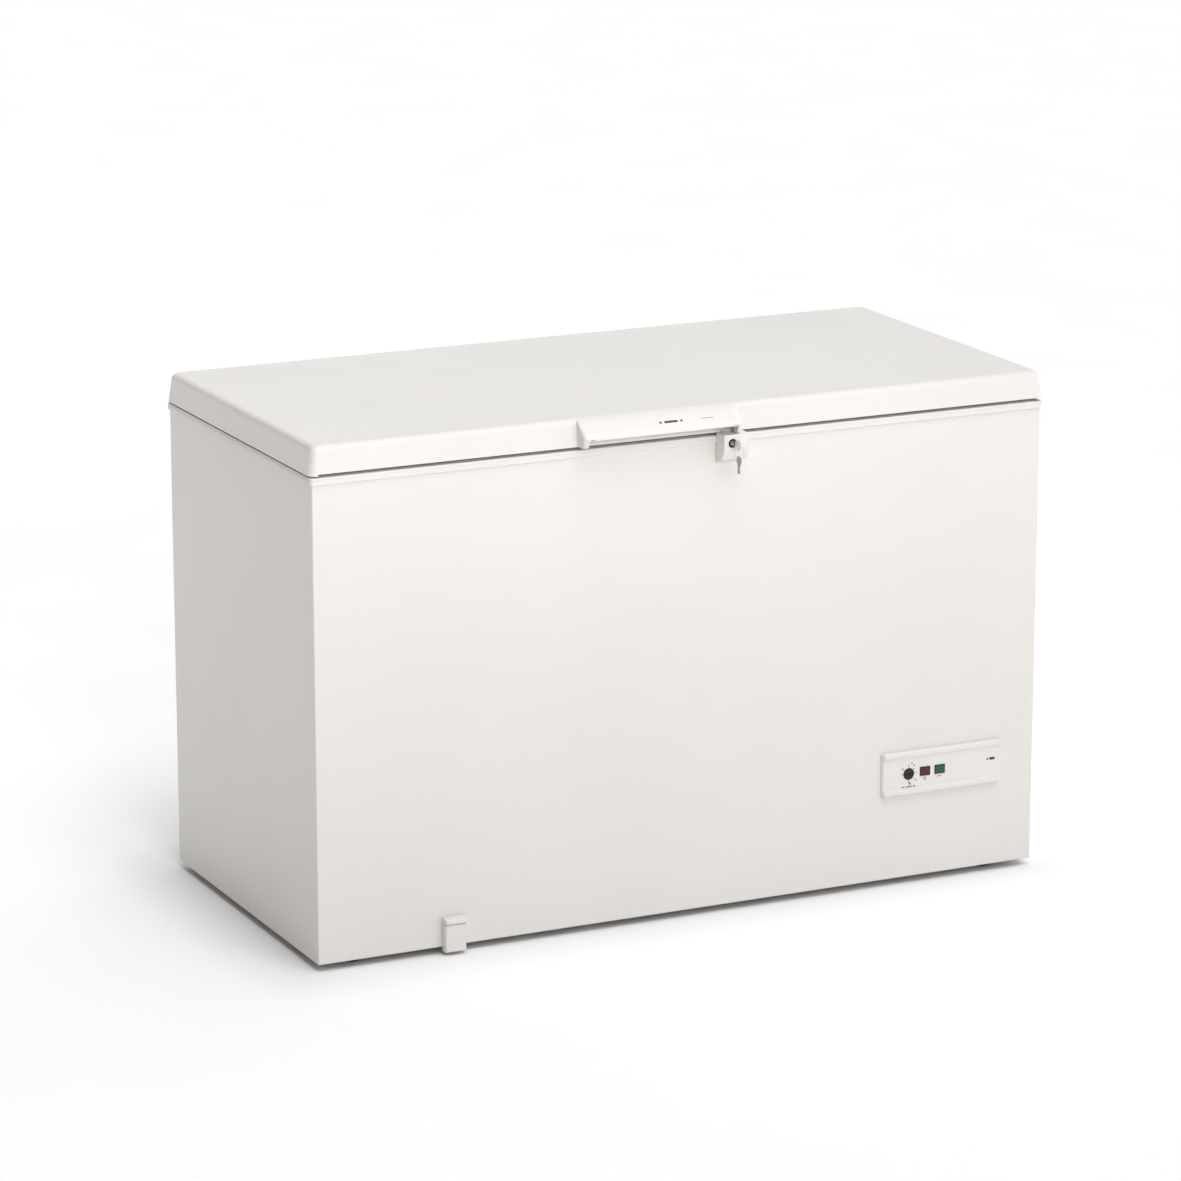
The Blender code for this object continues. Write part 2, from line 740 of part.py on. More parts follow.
def control_bezel():
    """Moulded panel with a raised round band along its top and bottom and a sunk face between."""
    low, high = PANEL_LOW, PANEL_HIGH
    face = FRONT - 0.0060
    proud = FRONT - PANEL_REACH
    outline = [
        (FRONT - GAP, low),
        *[(y, z) for y, z in arc(proud + 0.004, low + 0.004, 0.004, 270, 180, 3)],
        (proud, low + 0.009),
        (face, low + 0.013),
        (face, high - 0.013),
        (proud, high - 0.009),
        *[(y, z) for y, z in arc(proud + 0.004, high - 0.004, 0.004, 180, 90, 3)],
        (FRONT - GAP, high),
    ]
    bezel = add_mesh("control_bezel", prism(outline, PANEL_LEFT, PANEL_RIGHT), "white_plastic")
    back = FRONT + 0.01
    hollow = box(PANEL_LEFT + 0.003, PANEL_RIGHT - 0.003, FRONT - 0.0035, back, low + 0.003, high - 0.003)
    well = rod((KNOB_X, FRONT, KNOB_Z), "Y", KNOB_R + 0.0004, -0.02, 0.01)
    windows = [
        box(x - LENS[0] / 2 - GAP, x + LENS[0] / 2 + GAP, FRONT - 0.02, back, *lens_heights(GAP))
        for x in (RED_X, GREEN_X)
    ]
    combine(bezel, merge(hollow))
    combine(bezel, merge(well, *windows))


def lens_heights(grow=0.0):
    return LAMP_Z - LENS[1] / 2 - grow, LAMP_Z + LENS[1] / 2 + grow


def signal_lamps():
    """Two lamps that snap into the bezel, each a coloured lens in front of its body."""
    for colour, x in (("red", RED_X), ("green", GREEN_X)):
        low, high = lens_heights()
        half = LENS[0] / 2
        lens = soft_box(x - half, x + half, FRONT - 0.0075, FRONT - 0.0020, low, high, 0.0008, 1)
        lamp = add_mesh(f"{colour}_signal_lamp", lens, f"{colour}_lens")
        body = box(x - 0.008, x + 0.008, FRONT - 0.0030, FRONT + 0.024, low + 0.002, high - 0.002)
        combine(lamp, body, "UNION")


def thermostat():
    body = soft_box(KNOB_X - 0.020, KNOB_X + 0.0155, FRONT + 0.004, FRONT + 0.036, 0.187, 0.232, 0.002, 1)
    obj = add_mesh("thermostat", body, "steel")
    combine(obj, rod((KNOB_X, FRONT, KNOB_Z), "Y", 0.003, -0.0040, 0.010, 12), "UNION")


def thermostat_knob(mover):
    """Flat round knob with a coin slot across its face and a blind bore for the shaft."""
    profile = [(KNOB_R, -0.0010), (KNOB_R, -0.0068), (KNOB_R - 0.0008, -0.0076)]
    knob = turned(profile, (KNOB_X, FRONT, KNOB_Z), "Y", 24)
    obj = add_mesh("thermostat_knob", knob, "black_plastic", mover)
    bore = rod((KNOB_X, FRONT, KNOB_Z), "Y", 0.0033, -0.0045, 0.01, 12)
    long, half = 0.0085, 0.0011
    slot = box(KNOB_X - long, KNOB_X + long, FRONT - 0.01, FRONT - 0.0060, KNOB_Z - half, KNOB_Z + half)
    combine(obj, merge(bore, slot))


# ---------------------------------------------------------------- lid


def lid_sections(grow=0.0, drop=0.0):
    """Rings up the lid's outer surface, grown sideways, with its top lowered by drop."""
    rings = []
    edge_low = LID_TOP - LID_EDGE
    levels = [(0.0, LID_LOW), (1.0, edge_low)]
    radius = LID_EDGE + min(grow, 0.0)
    for degrees in (30, 60, 90):
        a = math.radians(degrees)
        levels.append((1.0 + radius * (1 - math.cos(a)) / LID_LEAN, edge_low + radius * math.sin(a)))
    for lean, z in levels:
        upright, turn = min(lean, 1.0), LID_LEAN * max(lean - 1.0, 0.0)
        side = LID_HALF + grow - LID_LEAN * lean
        front = LID_FRONT - grow + LID_LEAN_FRONT * upright + turn
        back = LID_BACK + grow - LID_LEAN_BACK * upright - turn
        height = min(z, LID_TOP - drop) if z > edge_low else z
        rings.append(rounded_rect(-side, side, front, back, LID_CORNER + min(grow, 0.0), height, 4))
    return rings


def lid_skin(mover):
    outer = lid_sections()
    inner = lid_sections(-LID_SKIN, LID_SKIN)
    skin = add_mesh("lid_skin", loft(inner[::-1] + outer), "enamel", mover)
    reach = LID_HALF - SKIRT_INSET
    notch = box(-reach, reach, LID_FRONT - 0.01, LID_FRONT + 0.006, LID_LOW - 0.01, FRONT_SKIRT)
    combine(skin, notch)


def plug_ring(inset, z, radius=0.03):
    """A ring of the lid's lower side, set in from the lid's lower edge."""
    reach = LID_HALF - inset
    return rounded_rect(-reach, reach, LID_FRONT + inset, LID_BACK - inset, radius, z, 4)


def lid_foam(mover):
    grow = -LID_SKIN - GAP
    body = lid_sections(grow, LID_SKIN + GAP)[1:]
    low = LID_BORDER + LID_LINER + GAP
    rings = [
        plug_ring(0.1006, low - DISH_DEPTH),
        plug_ring(0.0906, low),
        plug_ring(0.0034, low, 0.0115),
    ]
    add_mesh("lid_foam", loft(rings + body), "foam", mover)


def lid_liner(mover):
    """Inner skin of the lid: a flat border for the gasket round a shallow dish."""
    low, high = LID_BORDER, LID_BORDER + LID_LINER
    rings = [
        plug_ring(0.1000, high - DISH_DEPTH),
        plug_ring(0.0900, high),
        plug_ring(0.0035, high, 0.011),
        plug_ring(0.0035, low, 0.011),
        plug_ring(0.0885, low),
        plug_ring(0.0985, low - DISH_DEPTH),
    ]
    add_mesh("lid_liner", loft(rings), "white_plastic", mover)


def lid_gasket(mover):
    low, high = TRIM_TOP + GAP, LID_BORDER - GAP
    profile = [(0.0205, low + 0.001), (0.0205, high), (0.0345, high), (0.0345, low + 0.001), (0.0325, low)]
    profile += [(0.0225, low)]
    rings = [plug_ring(inset, z, 0.020) for inset, z in profile]
    add_mesh("lid_gasket", loft(rings, closed=True), "gasket", mover)


def handle_section(reach_in=0.0):
    """Side outline of the handle: a visor that leaves the lid's top edge and slopes outwards."""
    lip = FRONT - HANDLE_REACH + reach_in
    return [
        (FRONT + 0.020, LID_TOP - 0.0006 - reach_in),
        (FRONT + 0.004, LID_TOP - 0.0010 - reach_in),
        (FRONT - 0.006, LID_TOP - 0.0045 - reach_in),
        (FRONT - 0.018, 0.9040 - reach_in),
        (FRONT - 0.029, 0.8950 - reach_in),
        (lip + 0.0022, 0.8880 - reach_in * 0.6),
        (lip, HANDLE_LIP + 0.0010),
    ]


def lid_handle(mover):
    """Hollow visor handle, closed at both ends, that the fingers reach into from below."""
    lip_in = FRONT - HANDLE_REACH + 0.003
    shell_outline = handle_section() + [(lip_in, HANDLE_LIP)] + handle_section(0.003)[-2::-1]
    handle = add_mesh("lid_handle", prism(shell_outline, HANDLE_LEFT, HANDLE_RIGHT), "white_plastic", mover)
    cheek_outline = handle_section() + [
        (FRONT - HANDLE_REACH + 0.001, HANDLE_LIP),
        (FRONT - 0.0310, 0.8735),
        (FRONT - 0.0270, HANDLE_TIP),
        (FRONT + 0.010, HANDLE_TIP),
    ]
    for low in (HANDLE_LEFT, HANDLE_RIGHT - 0.003):
        combine(handle, prism(cheek_outline, low, low + 0.003), "UNION")
    plate = box(HANDLE_LEFT + 0.001, HANDLE_RIGHT - 0.001, LID_FRONT - 0.0025, FRONT + 0.012, 0.8960, 0.9125)
    combine(handle, plate, "UNION")
    combine(handle, loft(lid_sections(GAP, -GAP)))


def lock_striker(mover):
    """Steel keeper on the lid's front: a plate with a bar that the lock's hook closes over."""
    back, plate = LID_FRONT - 0.0003, LID_FRONT - 0.0018
    outline = [
        (back, 0.8681),
        (FRONT - 0.0135, 0.8681),
        (FRONT - 0.0135, 0.8697),
        (plate, 0.8697),
        (plate, 0.8945),
        (back, 0.8945),
    ]
    add_mesh("lock_striker", prism(outline, LOCK_X - 0.0095, LOCK_X - 0.0040), "steel", mover)


# ---------------------------------------------------------------- lock and keys


def lock_housing():
    outline = [
        (FRONT - GAP, 0.813),
        (FRONT - GAP, LOCK_TOP),
        (FRONT - LOCK_REACH + 0.0015, LOCK_TOP),
        (FRONT - LOCK_REACH, LOCK_TOP - 0.0015),
        (FRONT - LOCK_REACH, 0.838),
        (FRONT - 0.024, 0.822),
    ]
    hollow = [
        (FRONT + 0.01, 0.8165),
        (FRONT + 0.01, LOCK_TOP - 0.0025),
        (FRONT - LOCK_REACH + 0.0025, LOCK_TOP - 0.0025),
        (FRONT - LOCK_REACH + 0.0025, 0.8388),
        (FRONT - 0.0228, 0.8245),
    ]
    housing = add_mesh("lock_housing", prism(outline, LOCK_LEFT, LOCK_RIGHT), "white_plastic")
    trim_clear = FRONT - TRIM_PROUD - GAP
    inside = prism(hollow, LOCK_LEFT + 0.0025, LOCK_RIGHT - 0.0025)
    notch = box(LOCK_LEFT - 0.01, LOCK_RIGHT + 0.01, trim_clear, FRONT + 0.01, TRIM_LOW - GAP, 0.9)
    bore = rod((LOCK_X, FRONT, LOCK_Z), "Y", LOCK_R + GAP, -0.05, -0.02)
    slot = box(LOCK_X - 0.0110, LOCK_X + 0.0225, FRONT - 0.0125, FRONT - 0.0065, LOCK_TOP - 0.01, 0.9)
    combine(housing, inside)
    combine(housing, notch)
    combine(housing, merge(bore, slot))


def lock_cylinder(mover):
    centre = (LOCK_X, FRONT, LOCK_Z)
    profile = [
        (LOCK_R - 0.0012, -LOCK_REACH - 0.0020),
        (LOCK_R, -LOCK_REACH - 0.0012),
        (LOCK_R, -0.0110),
    ]
    cylinder = add_mesh("lock_cylinder", turned(profile, centre, "Y", 20), "steel", mover)
    thick, tall = 0.0013, 0.0045
    keyway = box(LOCK_X - thick, LOCK_X + thick, FRONT - 0.06, FRONT - 0.016, LOCK_Z - tall, LOCK_Z + tall)
    combine(cylinder, keyway)


def lock_cam(mover):
    """Flat hook behind the cylinder. Turned up, its head closes over the keeper's bar."""
    outline = [
        *arc(LOCK_X, LOCK_Z, 0.0070, 30, 330, 10),
        (LOCK_X + 0.0215, LOCK_Z - 0.0035),
        (LOCK_X + 0.0215, LOCK_Z + 0.0075),
        (LOCK_X + 0.0176, LOCK_Z + 0.0075),
        (LOCK_X + 0.0176, LOCK_Z + 0.0035),
    ]
    add_mesh("lock_cam", prism(outline, FRONT - 0.0107, FRONT - 0.0085, "Y"), "steel", mover, False)


def key_outline(along, size, blade, notches=2):
    """A key in its own plane: a round bow, then a blade with a few bittings. along is its direction."""
    bow = arc(0, 0, size, 25, 335, 12)
    reach = size * math.cos(math.radians(25))
    low = -size * math.sin(math.radians(25))
    points = bow + [(reach + 0.002, low)]
    step = blade / (2 * notches + 2)
    for i in range(2 * notches + 1):
        depth = 0.0 if i % 2 == 0 else 0.0012
        points += [(reach + 0.002 + step * i, low + depth), (reach + 0.002 + step * (i + 0.7), low + depth)]
    points += [(reach + blade, 0.0), (reach + blade - 0.002, -low), (reach + 0.002, -low)]
    clean = [points[0]]
    for point in points[1:]:
        if math.dist(point, clean[-1]) > 1e-5:
            clean.append(point)
    turn = math.radians(along)
    return [
        (x * math.cos(turn) - z * math.sin(turn), x * math.sin(turn) + z * math.cos(turn)) for x, z in clean
    ]


def turning_key(mover):
    """The key in the lock, its bow upright in the YZ plane, with a hole for the ring."""
    bow_y, bow_r = FRONT - KEY_REACH + 0.0125, 0.0095
    outline = [(bow_y + y, LOCK_Z + z) for y, z in key_outline(0, bow_r, 0.026)]
    key = add_mesh("key", prism(outline, LOCK_X - 0.0010, LOCK_X + 0.0010), "steel", mover, False)
    combine(key, rod((LOCK_X, ring_y(), LOCK_Z), "X", 0.0028, -0.01, 0.01, 12))


def ring_y():
    return FRONT - KEY_REACH + 0.0078


def spare_keys(mover):
    """A wire ring through the key's bow, and the second key that hangs on it."""
    wire, sides, steps = 0.0007, 6, 24
    rings = []
    for i in range(steps):
        a = 2 * math.pi * i / steps
        out = Vector((math.cos(a), 0, math.sin(a)))
        centre = Vector((LOCK_X, ring_y(), LOCK_Z - 0.0016 - RING_R)) + RING_R * out
        turn = [2 * math.pi * k / sides for k in range(sides)]
        rings.append([centre + wire * (math.cos(t) * out + math.sin(t) * Vector((0, 1, 0))) for t in turn])
    add_mesh("key_ring", loft(rings, closed=True), "steel", mover)
    hole_z = LOCK_Z - 2 * RING_R - 0.0033
    bow_z = hole_z - 0.0035
    outline = [(ring_y() + y, bow_z + z) for y, z in key_outline(-90, 0.0078, 0.016)]
    spare = add_mesh("spare_key", prism(outline, LOCK_X - 0.0009, LOCK_X + 0.0009), "steel", mover, False)
    combine(spare, rod((LOCK_X, ring_y(), hole_z), "X", 0.0028, -0.01, 0.01, 12))


# ---------------------------------------------------------------- hinges, grille, gland


def hinge(side, x, lid_mover):
    """One lid hinge: cabinet bracket with two ears, pin, spring, and the leaf on the lid."""
    centre = (x, PIVOT_Y, PIVOT_Z)
    plate = box(x - 0.045, x + 0.045, BACK + GAP, BACK + 0.0023, 0.795, 0.8475)
    bracket = add_mesh(f"hinge_bracket_{side}", plate, "galvanised")
    ear = [
        (BACK + 0.0010, 0.805),
        (BACK + 0.0010, 0.8470),
        (BACK + 0.0042, 0.8475),
        (PIVOT_Y - KNUCKLE, PIVOT_Z),
        (PIVOT_Y + KNUCKLE, PIVOT_Z),
        (BACK + 0.0120, 0.825),
        (BACK + 0.0060, 0.805),
    ]
    for low in (-0.044, 0.032):
        combine(bracket, prism(ear, x + low, x + low + 0.012), "UNION")
        combine(bracket, rod(centre, "X", KNUCKLE, low, low + 0.012, 16), "UNION")
    combine(bracket, rod(centre, "X", PIN + GAP, -0.06, 0.06, 16))
    pin = [(PIN, -0.0445), (PIN, 0.0445), (0.0045, 0.0445), (0.0045, 0.0460), (0.0030, 0.0468)]
    add_mesh(f"hinge_pin_{side}", turned(pin, centre, "X", 16), "steel")
    leaf_plate = box(x - 0.045, x + 0.045, LID_BACK + GAP, LID_BACK + 0.0023, 0.8735, 0.905)
    leaf = add_mesh(f"hinge_leaf_{side}", leaf_plate, "galvanised", lid_mover)
    web = [
        (LID_BACK + 0.0005, 0.8900),
        (LID_BACK + 0.0005, 0.8740),
        (PIVOT_Y - KNUCKLE, PIVOT_Z),
        (PIVOT_Y + KNUCKLE, PIVOT_Z),
        (LID_BACK + 0.0060, 0.8900),
    ]
    combine(leaf, prism(web, x - 0.010, x + 0.010), "UNION")
    combine(leaf, rod(centre, "X", KNUCKLE, -0.010, 0.010, 16), "UNION")
    combine(leaf, rod(centre, "X", PIN + GAP, -0.06, 0.06, 16))
    add_tube(f"hinge_spring_{side}", spring_route(x), 0.0008, "steel", 5)


def spring_route(x, turns=6, steps=8):
    """A helix round the pin, between the middle knuckle and the right ear."""
    points = []
    for i in range(turns * steps + 1):
        a = 2 * math.pi * i / steps
        along = x + 0.0120 + 0.0185 * i / (turns * steps)
        points.append((along, PIVOT_Y + 0.0045 * math.cos(a), PIVOT_Z + 0.0045 * math.sin(a)))
    return points


def rear_grille():
    """Slatted cover over the compressor bay's opening, held by a screw at each side."""
    x0, x1 = BAY_X + 0.008, HALF - 0.018
    z0, z1 = 0.033, 0.274
    front, back = BACK + GAP, BACK + 0.0035
    grille = add_mesh("rear_grille", box(x0, x1, front, back, z0, z1), "black_plastic")
    slots = []
    for row in range(9):
        z = z0 + 0.035 + row * 0.0215
        outline = [(a, b) for b, a in slot_outline(z, (x0 + x1) / 2, 0.008, x1 - x0 - 0.070)]
        slots.append(prism(outline, front - 0.01, back + 0.01, "Y"))
    combine(grille, merge(*slots, *grille_screw_holes()))
    combine(bpy.data.objects["back_panel"], merge(*grille_screw_holes()))
    for number, (x, z) in enumerate(grille_screw_places(), 1):
        profile = [(0.0024, -0.0080), (0.0024, 0.0038), (0.0048, 0.0038), (0.0048, 0.0052), (0.0030, 0.0064)]
        add_mesh(f"grille_screw_{number}", turned(profile, (x, BACK, z), "Y", 12), "steel")


def grille_screw_places():
    return [(x, 0.1535) for x in (BAY_X + 0.014, HALF - 0.024)]


def grille_screw_holes():
    return [rod((x, BACK, z), "Y", 0.0030, -0.01, 0.01, 12) for x, z in grille_screw_places()]


def cord_gland():
    """Snap-in bush in the back panel where the supply cord enters; the cord itself isn't fitted."""
    x, z = BAY_X - 0.030, 0.060
    profile = [(0.0085, 0.0003), (0.0085, 0.0060), (0.0045, 0.0060), (0.0045, 0.0003)]
    body = turned(profile, (x, BACK, z), "Y", 16, closed=True)
    add_mesh("cord_gland", body, "black_plastic")


# ---------------------------------------------------------------- baskets


def basket(name, x, mover):
    """Open tray with a flange that hangs on the ledge of the rim frame."""
    wide, deep, tall = BASKET[0] / 2, BASKET[1] / 2, BASKET[2]
    wall, taper = 0.0025, 0.006
    flange_x, flange_y = 0.004, 0.0095
    low, under = BASKET_RIM - tall, LEDGE_Z + GAP

    def ring(half_x, half_y, z, radius):
        return rounded_rect(x - half_x, x + half_x, BASKET_Y - half_y, BASKET_Y + half_y, radius, z, 3)

    rings = [
        ring(wide - taper - wall, deep - taper - wall, low + wall, 0.016),
        ring(wide - wall, deep - wall, BASKET_RIM, 0.018),
        ring(wide + flange_x, deep + flange_y, BASKET_RIM, 0.022),
        ring(wide + flange_x, deep + flange_y, under, 0.022),
        ring(wide, deep, under, 0.020),
        ring(wide - taper, deep - taper, low, 0.018),
    ]
    add_mesh(name, loft(rings), "coated_wire", mover)


# ---------------------------------------------------------------- the freezer


def main():
    clear_scene()
    condenser, evaporator = condenser_route(), evaporator_route()
    front_panel()
    side_panel("left_side_panel", -1)
    side_panel("right_side_panel", 1)
    back_panel()
    floor_sheets()
    drain_bore = drain_tube_route()
    drain_bore[0] = (DRAIN_X, DRAIN_Y, FLOOR + 0.01)
    drain_bore[-1] = (DRAIN_X, FRONT - 0.01, DRAIN_Z)
    cabinet_foam(
        [(condenser, TUBE_R + 0.0004, 6), (evaporator, EVAPORATOR_R + 0.0004, 6), (drain_bore, 0.0122, 12)]
    )
    front, back = condenser[0], condenser[-1]
    bay_liner([(front, "X"), (back, "Z"), (evaporator[0], "X"), (evaporator[-1], "Z")])
    inner_liner()
    rim_frame()
    feet()
    add_tube("condenser_coil", condenser, TUBE_R, "copper")
    add_tube("evaporator_coil", evaporator, EVAPORATOR_R, "copper")
    compressor()
    compressor_mounts()
    relay_cover()
    filter_drier()
    bay_tubes()
    drain_tube()
    control_bezel()
    signal_lamps()
    thermostat()
    lock_housing()
    rear_grille()
    cord_gland()

    lid = add_empty("lid_hinge", (0, PIVOT_Y, PIVOT_Z))
    lid_skin(lid)
    lid_foam(lid)
    lid_liner(lid)
    lid_gasket(lid)
    lid_handle(lid)
    lock_striker(lid)
    hinge("left", -HINGE_X, lid)
    hinge("right", HINGE_X, lid)

    thermostat_knob(add_empty("knob_turn", (KNOB_X, FRONT, KNOB_Z)))
    lock = add_empty("lock_turn", (LOCK_X, FRONT, LOCK_Z))
    lock_cylinder(lock)
    lock_cam(lock)
    turning_key(lock)
    spare_keys(add_empty("spare_key_swing", (LOCK_X, ring_y(), LOCK_Z), lock))
    drain_cover(add_empty("drain_cover_slide", (DRAIN_X, FRONT, DRAIN_Z)))
    drain_plug(add_empty("drain_plug_lift", (DRAIN_X, DRAIN_Y, FLOOR)))
    for name, x in BASKETS.items():
        basket(name, x, add_empty(f"{name}_slide", (x, BASKET_Y, BASKET_RIM)))


main()
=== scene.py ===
"""Looks of the large white chest freezer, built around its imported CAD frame.

Metres, +Z up, front towards -Y. Every piece is made at rest in the frame's own coordinates and
then rides on a body. Places come from the CAD nodes' boxes.
"""

import math

import bmesh
import bpy
from mathutils import Matrix, Vector


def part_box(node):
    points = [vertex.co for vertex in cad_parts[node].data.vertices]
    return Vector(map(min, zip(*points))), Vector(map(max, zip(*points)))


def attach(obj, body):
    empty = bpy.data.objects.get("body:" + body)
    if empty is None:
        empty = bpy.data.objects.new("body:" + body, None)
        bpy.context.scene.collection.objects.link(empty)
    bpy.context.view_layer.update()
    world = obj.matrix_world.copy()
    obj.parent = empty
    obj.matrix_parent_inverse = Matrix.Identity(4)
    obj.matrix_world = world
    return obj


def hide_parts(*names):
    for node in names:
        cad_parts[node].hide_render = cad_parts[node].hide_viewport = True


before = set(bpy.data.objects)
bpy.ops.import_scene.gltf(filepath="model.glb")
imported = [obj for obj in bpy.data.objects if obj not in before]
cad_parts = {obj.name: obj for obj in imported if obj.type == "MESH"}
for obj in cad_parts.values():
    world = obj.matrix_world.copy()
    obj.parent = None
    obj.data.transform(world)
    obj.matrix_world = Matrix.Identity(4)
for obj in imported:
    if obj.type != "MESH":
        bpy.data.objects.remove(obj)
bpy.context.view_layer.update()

# Cabinet, read from the frame
PANEL_LOW, PANEL_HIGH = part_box("front_panel")
FRONT, HALF, BASE, PANEL_TOP = PANEL_LOW.y, PANEL_HIGH.x, PANEL_LOW.z, PANEL_HIGH.z
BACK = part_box("back_panel")[1].y
SHEET = 0.0008
CORNER = 0.003
RETURN = 0.014

# Rim and tank
RIM_LOW, RIM_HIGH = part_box("rim_frame")
SKIRT_LOW = 0.849
LEDGE_Z = 0.8403
TANK_LOW, TANK_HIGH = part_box("inner_liner")
TANK_SKIN = 0.0012
TANK_CORNER = 0.035
TANK_COVE = 0.012
STEP_X, STEP_Z = 0.330, 0.355

# Lid
LID_LOW, LID_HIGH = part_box("lid_skin")
LID_EDGE = 0.011
LID_PLAN_CORNER = 0.014
LID_LEAN = 0.0055
LID_SKIN = 0.0015
SKIRT_Z = 0.868
SKIRT_INSET = 0.015
DISH_LOW, DISH_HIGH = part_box("lid_liner")
SEAL_LOW, SEAL_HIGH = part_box("lid_gasket")

# Handle, lock and keys
GRIP_LOW, GRIP_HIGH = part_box("lid_handle")
LIP_Z = 0.8830
TIP_Z = 0.8690
LOCK_LOW, LOCK_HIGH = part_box("lock_housing")
BARREL_LOW, BARREL_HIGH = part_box("lock_cylinder")
LOCK_X = (BARREL_LOW.x + BARREL_HIGH.x) / 2
LOCK_Z = (BARREL_LOW.z + BARREL_HIGH.z) / 2
BARREL_R = (BARREL_HIGH.x - BARREL_LOW.x) / 2
KEY_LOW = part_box("key")[0]
RING_LOW, RING_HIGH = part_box("key_ring")
SPARE_LOW, SPARE_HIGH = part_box("spare_key")

# Control panel and drain
FASCIA_LOW, FASCIA_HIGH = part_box("control_bezel")
FASCIA_FACE = FRONT - 0.0060
KNOB_LOW, KNOB_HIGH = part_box("thermostat_knob")
KNOB_X = (KNOB_LOW.x + KNOB_HIGH.x) / 2
KNOB_Z = (KNOB_LOW.z + KNOB_HIGH.z) / 2
KNOB_R = (KNOB_HIGH.x - KNOB_LOW.x) / 2
WINDOW_X, WINDOW_Z = (0.424, 0.5185), (0.188, 0.229)
CAP_LOW, CAP_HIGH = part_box("drain_cover")
DRAIN_X = (CAP_LOW.x + CAP_HIGH.x) / 2
DRAIN_Z = 0.040
PLUG_LOW, PLUG_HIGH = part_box("drain_plug")
PLUG_Y, PLUG_Z = (PLUG_LOW.y + PLUG_HIGH.y) / 2, 0.082

GAP = 0.0003


# ---------------------------------------------------------------- materials


class Graph:
    """A material's nodes, with short calls for making and joining them."""

    def __init__(self, name):
        self.material = bpy.data.materials.new(name)
        self.material.use_nodes = True
        self.nodes = self.material.node_tree.nodes
        self.links = self.material.node_tree.links
        self.shader = self.nodes["Principled BSDF"]
        self.place = self.nodes.new("ShaderNodeTexCoord").outputs["Object"]

    def set(self, **values):
        for name, value in values.items():
            self.shader.inputs[name.replace("_", " ")].default_value = value
        return self

    def node(self, kind, socket, source, **values):
        """A new node with its inputs set and a source linked to one socket."""
        node = self.nodes.new(f"ShaderNode{kind}")
        for name, value in values.items():
            node.inputs[name.replace("_", " ")].default_value = value
        self.links.new(source, node.inputs[socket])
        return node

    def stretched(self, scale):
        return self.node("Mapping", "Vector", self.place, Scale=scale).outputs["Vector"]

    def noise(self, scale, detail=3.0, where=None):
        node = self.node("TexNoise", "Vector", where or self.place, Scale=scale, Detail=detail)
        return node.outputs["Fac"]

    def cells(self, scale, output="Distance", feature="F1"):
        node = self.node("TexVoronoi", "Vector", self.place, Scale=scale)
        node.feature = feature
        return node.outputs[output]

    def spread(self, source, low, high, start=0.25, end=0.75):
        limits = {"From_Min": start, "From_Max": end, "To_Min": low, "To_Max": high}
        return self.node("MapRange", "Value", source, **limits).outputs["Result"]

    def colours(self, source, *stops):
        node = self.nodes.new("ShaderNodeValToRGB")
        ramp = node.color_ramp
        while len(ramp.elements) < len(stops):
            ramp.elements.new(0.5)
        for element, (position, colour) in zip(ramp.elements, stops):
            element.position = position
            element.color = (*colour, 1.0)
        self.links.new(source, node.inputs["Fac"])
        self.links.new(node.outputs["Color"], self.shader.inputs["Base Color"])
        return self

    def roughness(self, source, low, high, start=0.25, end=0.75):
        self.links.new(self.spread(source, low, high, start, end), self.shader.inputs["Roughness"])
        return self

    def bumps(self, *layers):
        """Layers of (height source, strength, distance), each added to the one before."""
        normal = None
        for source, strength, distance in layers:
            node = self.node("Bump", "Height", source, Strength=strength, Distance=distance)
            if normal:
                self.links.new(normal, node.inputs["Normal"])
            normal = node.outputs["Normal"]
        self.links.new(normal, self.shader.inputs["Normal"])
        return self


def shade(colour, factor):
    return tuple(min(1.0, channel * factor) for channel in colour)


def coated(name, colour, rough, coat=0.0, peel=0.10, grain=500.0, vary=0.02, specular=0.5):
    """Paint or moulded plastic: faint clouding of the colour, orange peel and uneven gloss."""
    graph = Graph(name)
    graph.set(Coat_Weight=coat, Coat_Roughness=0.12, Specular_IOR_Level=specular)
    clouds = graph.noise(2.5, 4.0)
    graph.colours(clouds, (0.30, shade(colour, 1 - vary)), (0.70, shade(colour, 1 + vary)))
    graph.roughness(graph.noise(9.0, 5.0), rough - 0.05, rough + 0.05)
    graph.bumps((graph.noise(grain, 2.0), peel, 0.0002), (graph.noise(35.0, 2.0), peel, 0.0003))
    return graph.material


def bare_metal(name, colour, rough, stretch=(1.0, 1.0, 1.0), grain=400.0, vary=0.10, bump=0.15):
    graph = Graph(name)
    graph.set(Metallic=1.0)
    along = graph.stretched(stretch)
    fine = graph.noise(grain, 4.0, along)
    graph.colours(fine, (0.30, shade(colour, 1 - vary)), (0.70, shade(colour, 1 + vary)))
    graph.roughness(graph.noise(30.0, 4.0), rough - 0.08, rough + 0.08)
    graph.bumps((fine, bump, 0.0001))
    return graph.material


def spangled_zinc(name):
    """Hot-dip zinc: flat crystals of slightly different grey and gloss."""
    graph = Graph(name)
    graph.set(Metallic=0.85)
    crystal = graph.cells(60.0, "Color")
    graph.colours(crystal, (0.10, (0.42, 0.43, 0.44)), (0.90, (0.60, 0.61, 0.62)))
    graph.roughness(crystal, 0.36, 0.55)
    edges = graph.cells(60.0, "Distance", "DISTANCE_TO_EDGE")
    graph.bumps((edges, 0.08, 0.0002), (graph.noise(300.0), 0.1, 0.0001))
    return graph.material


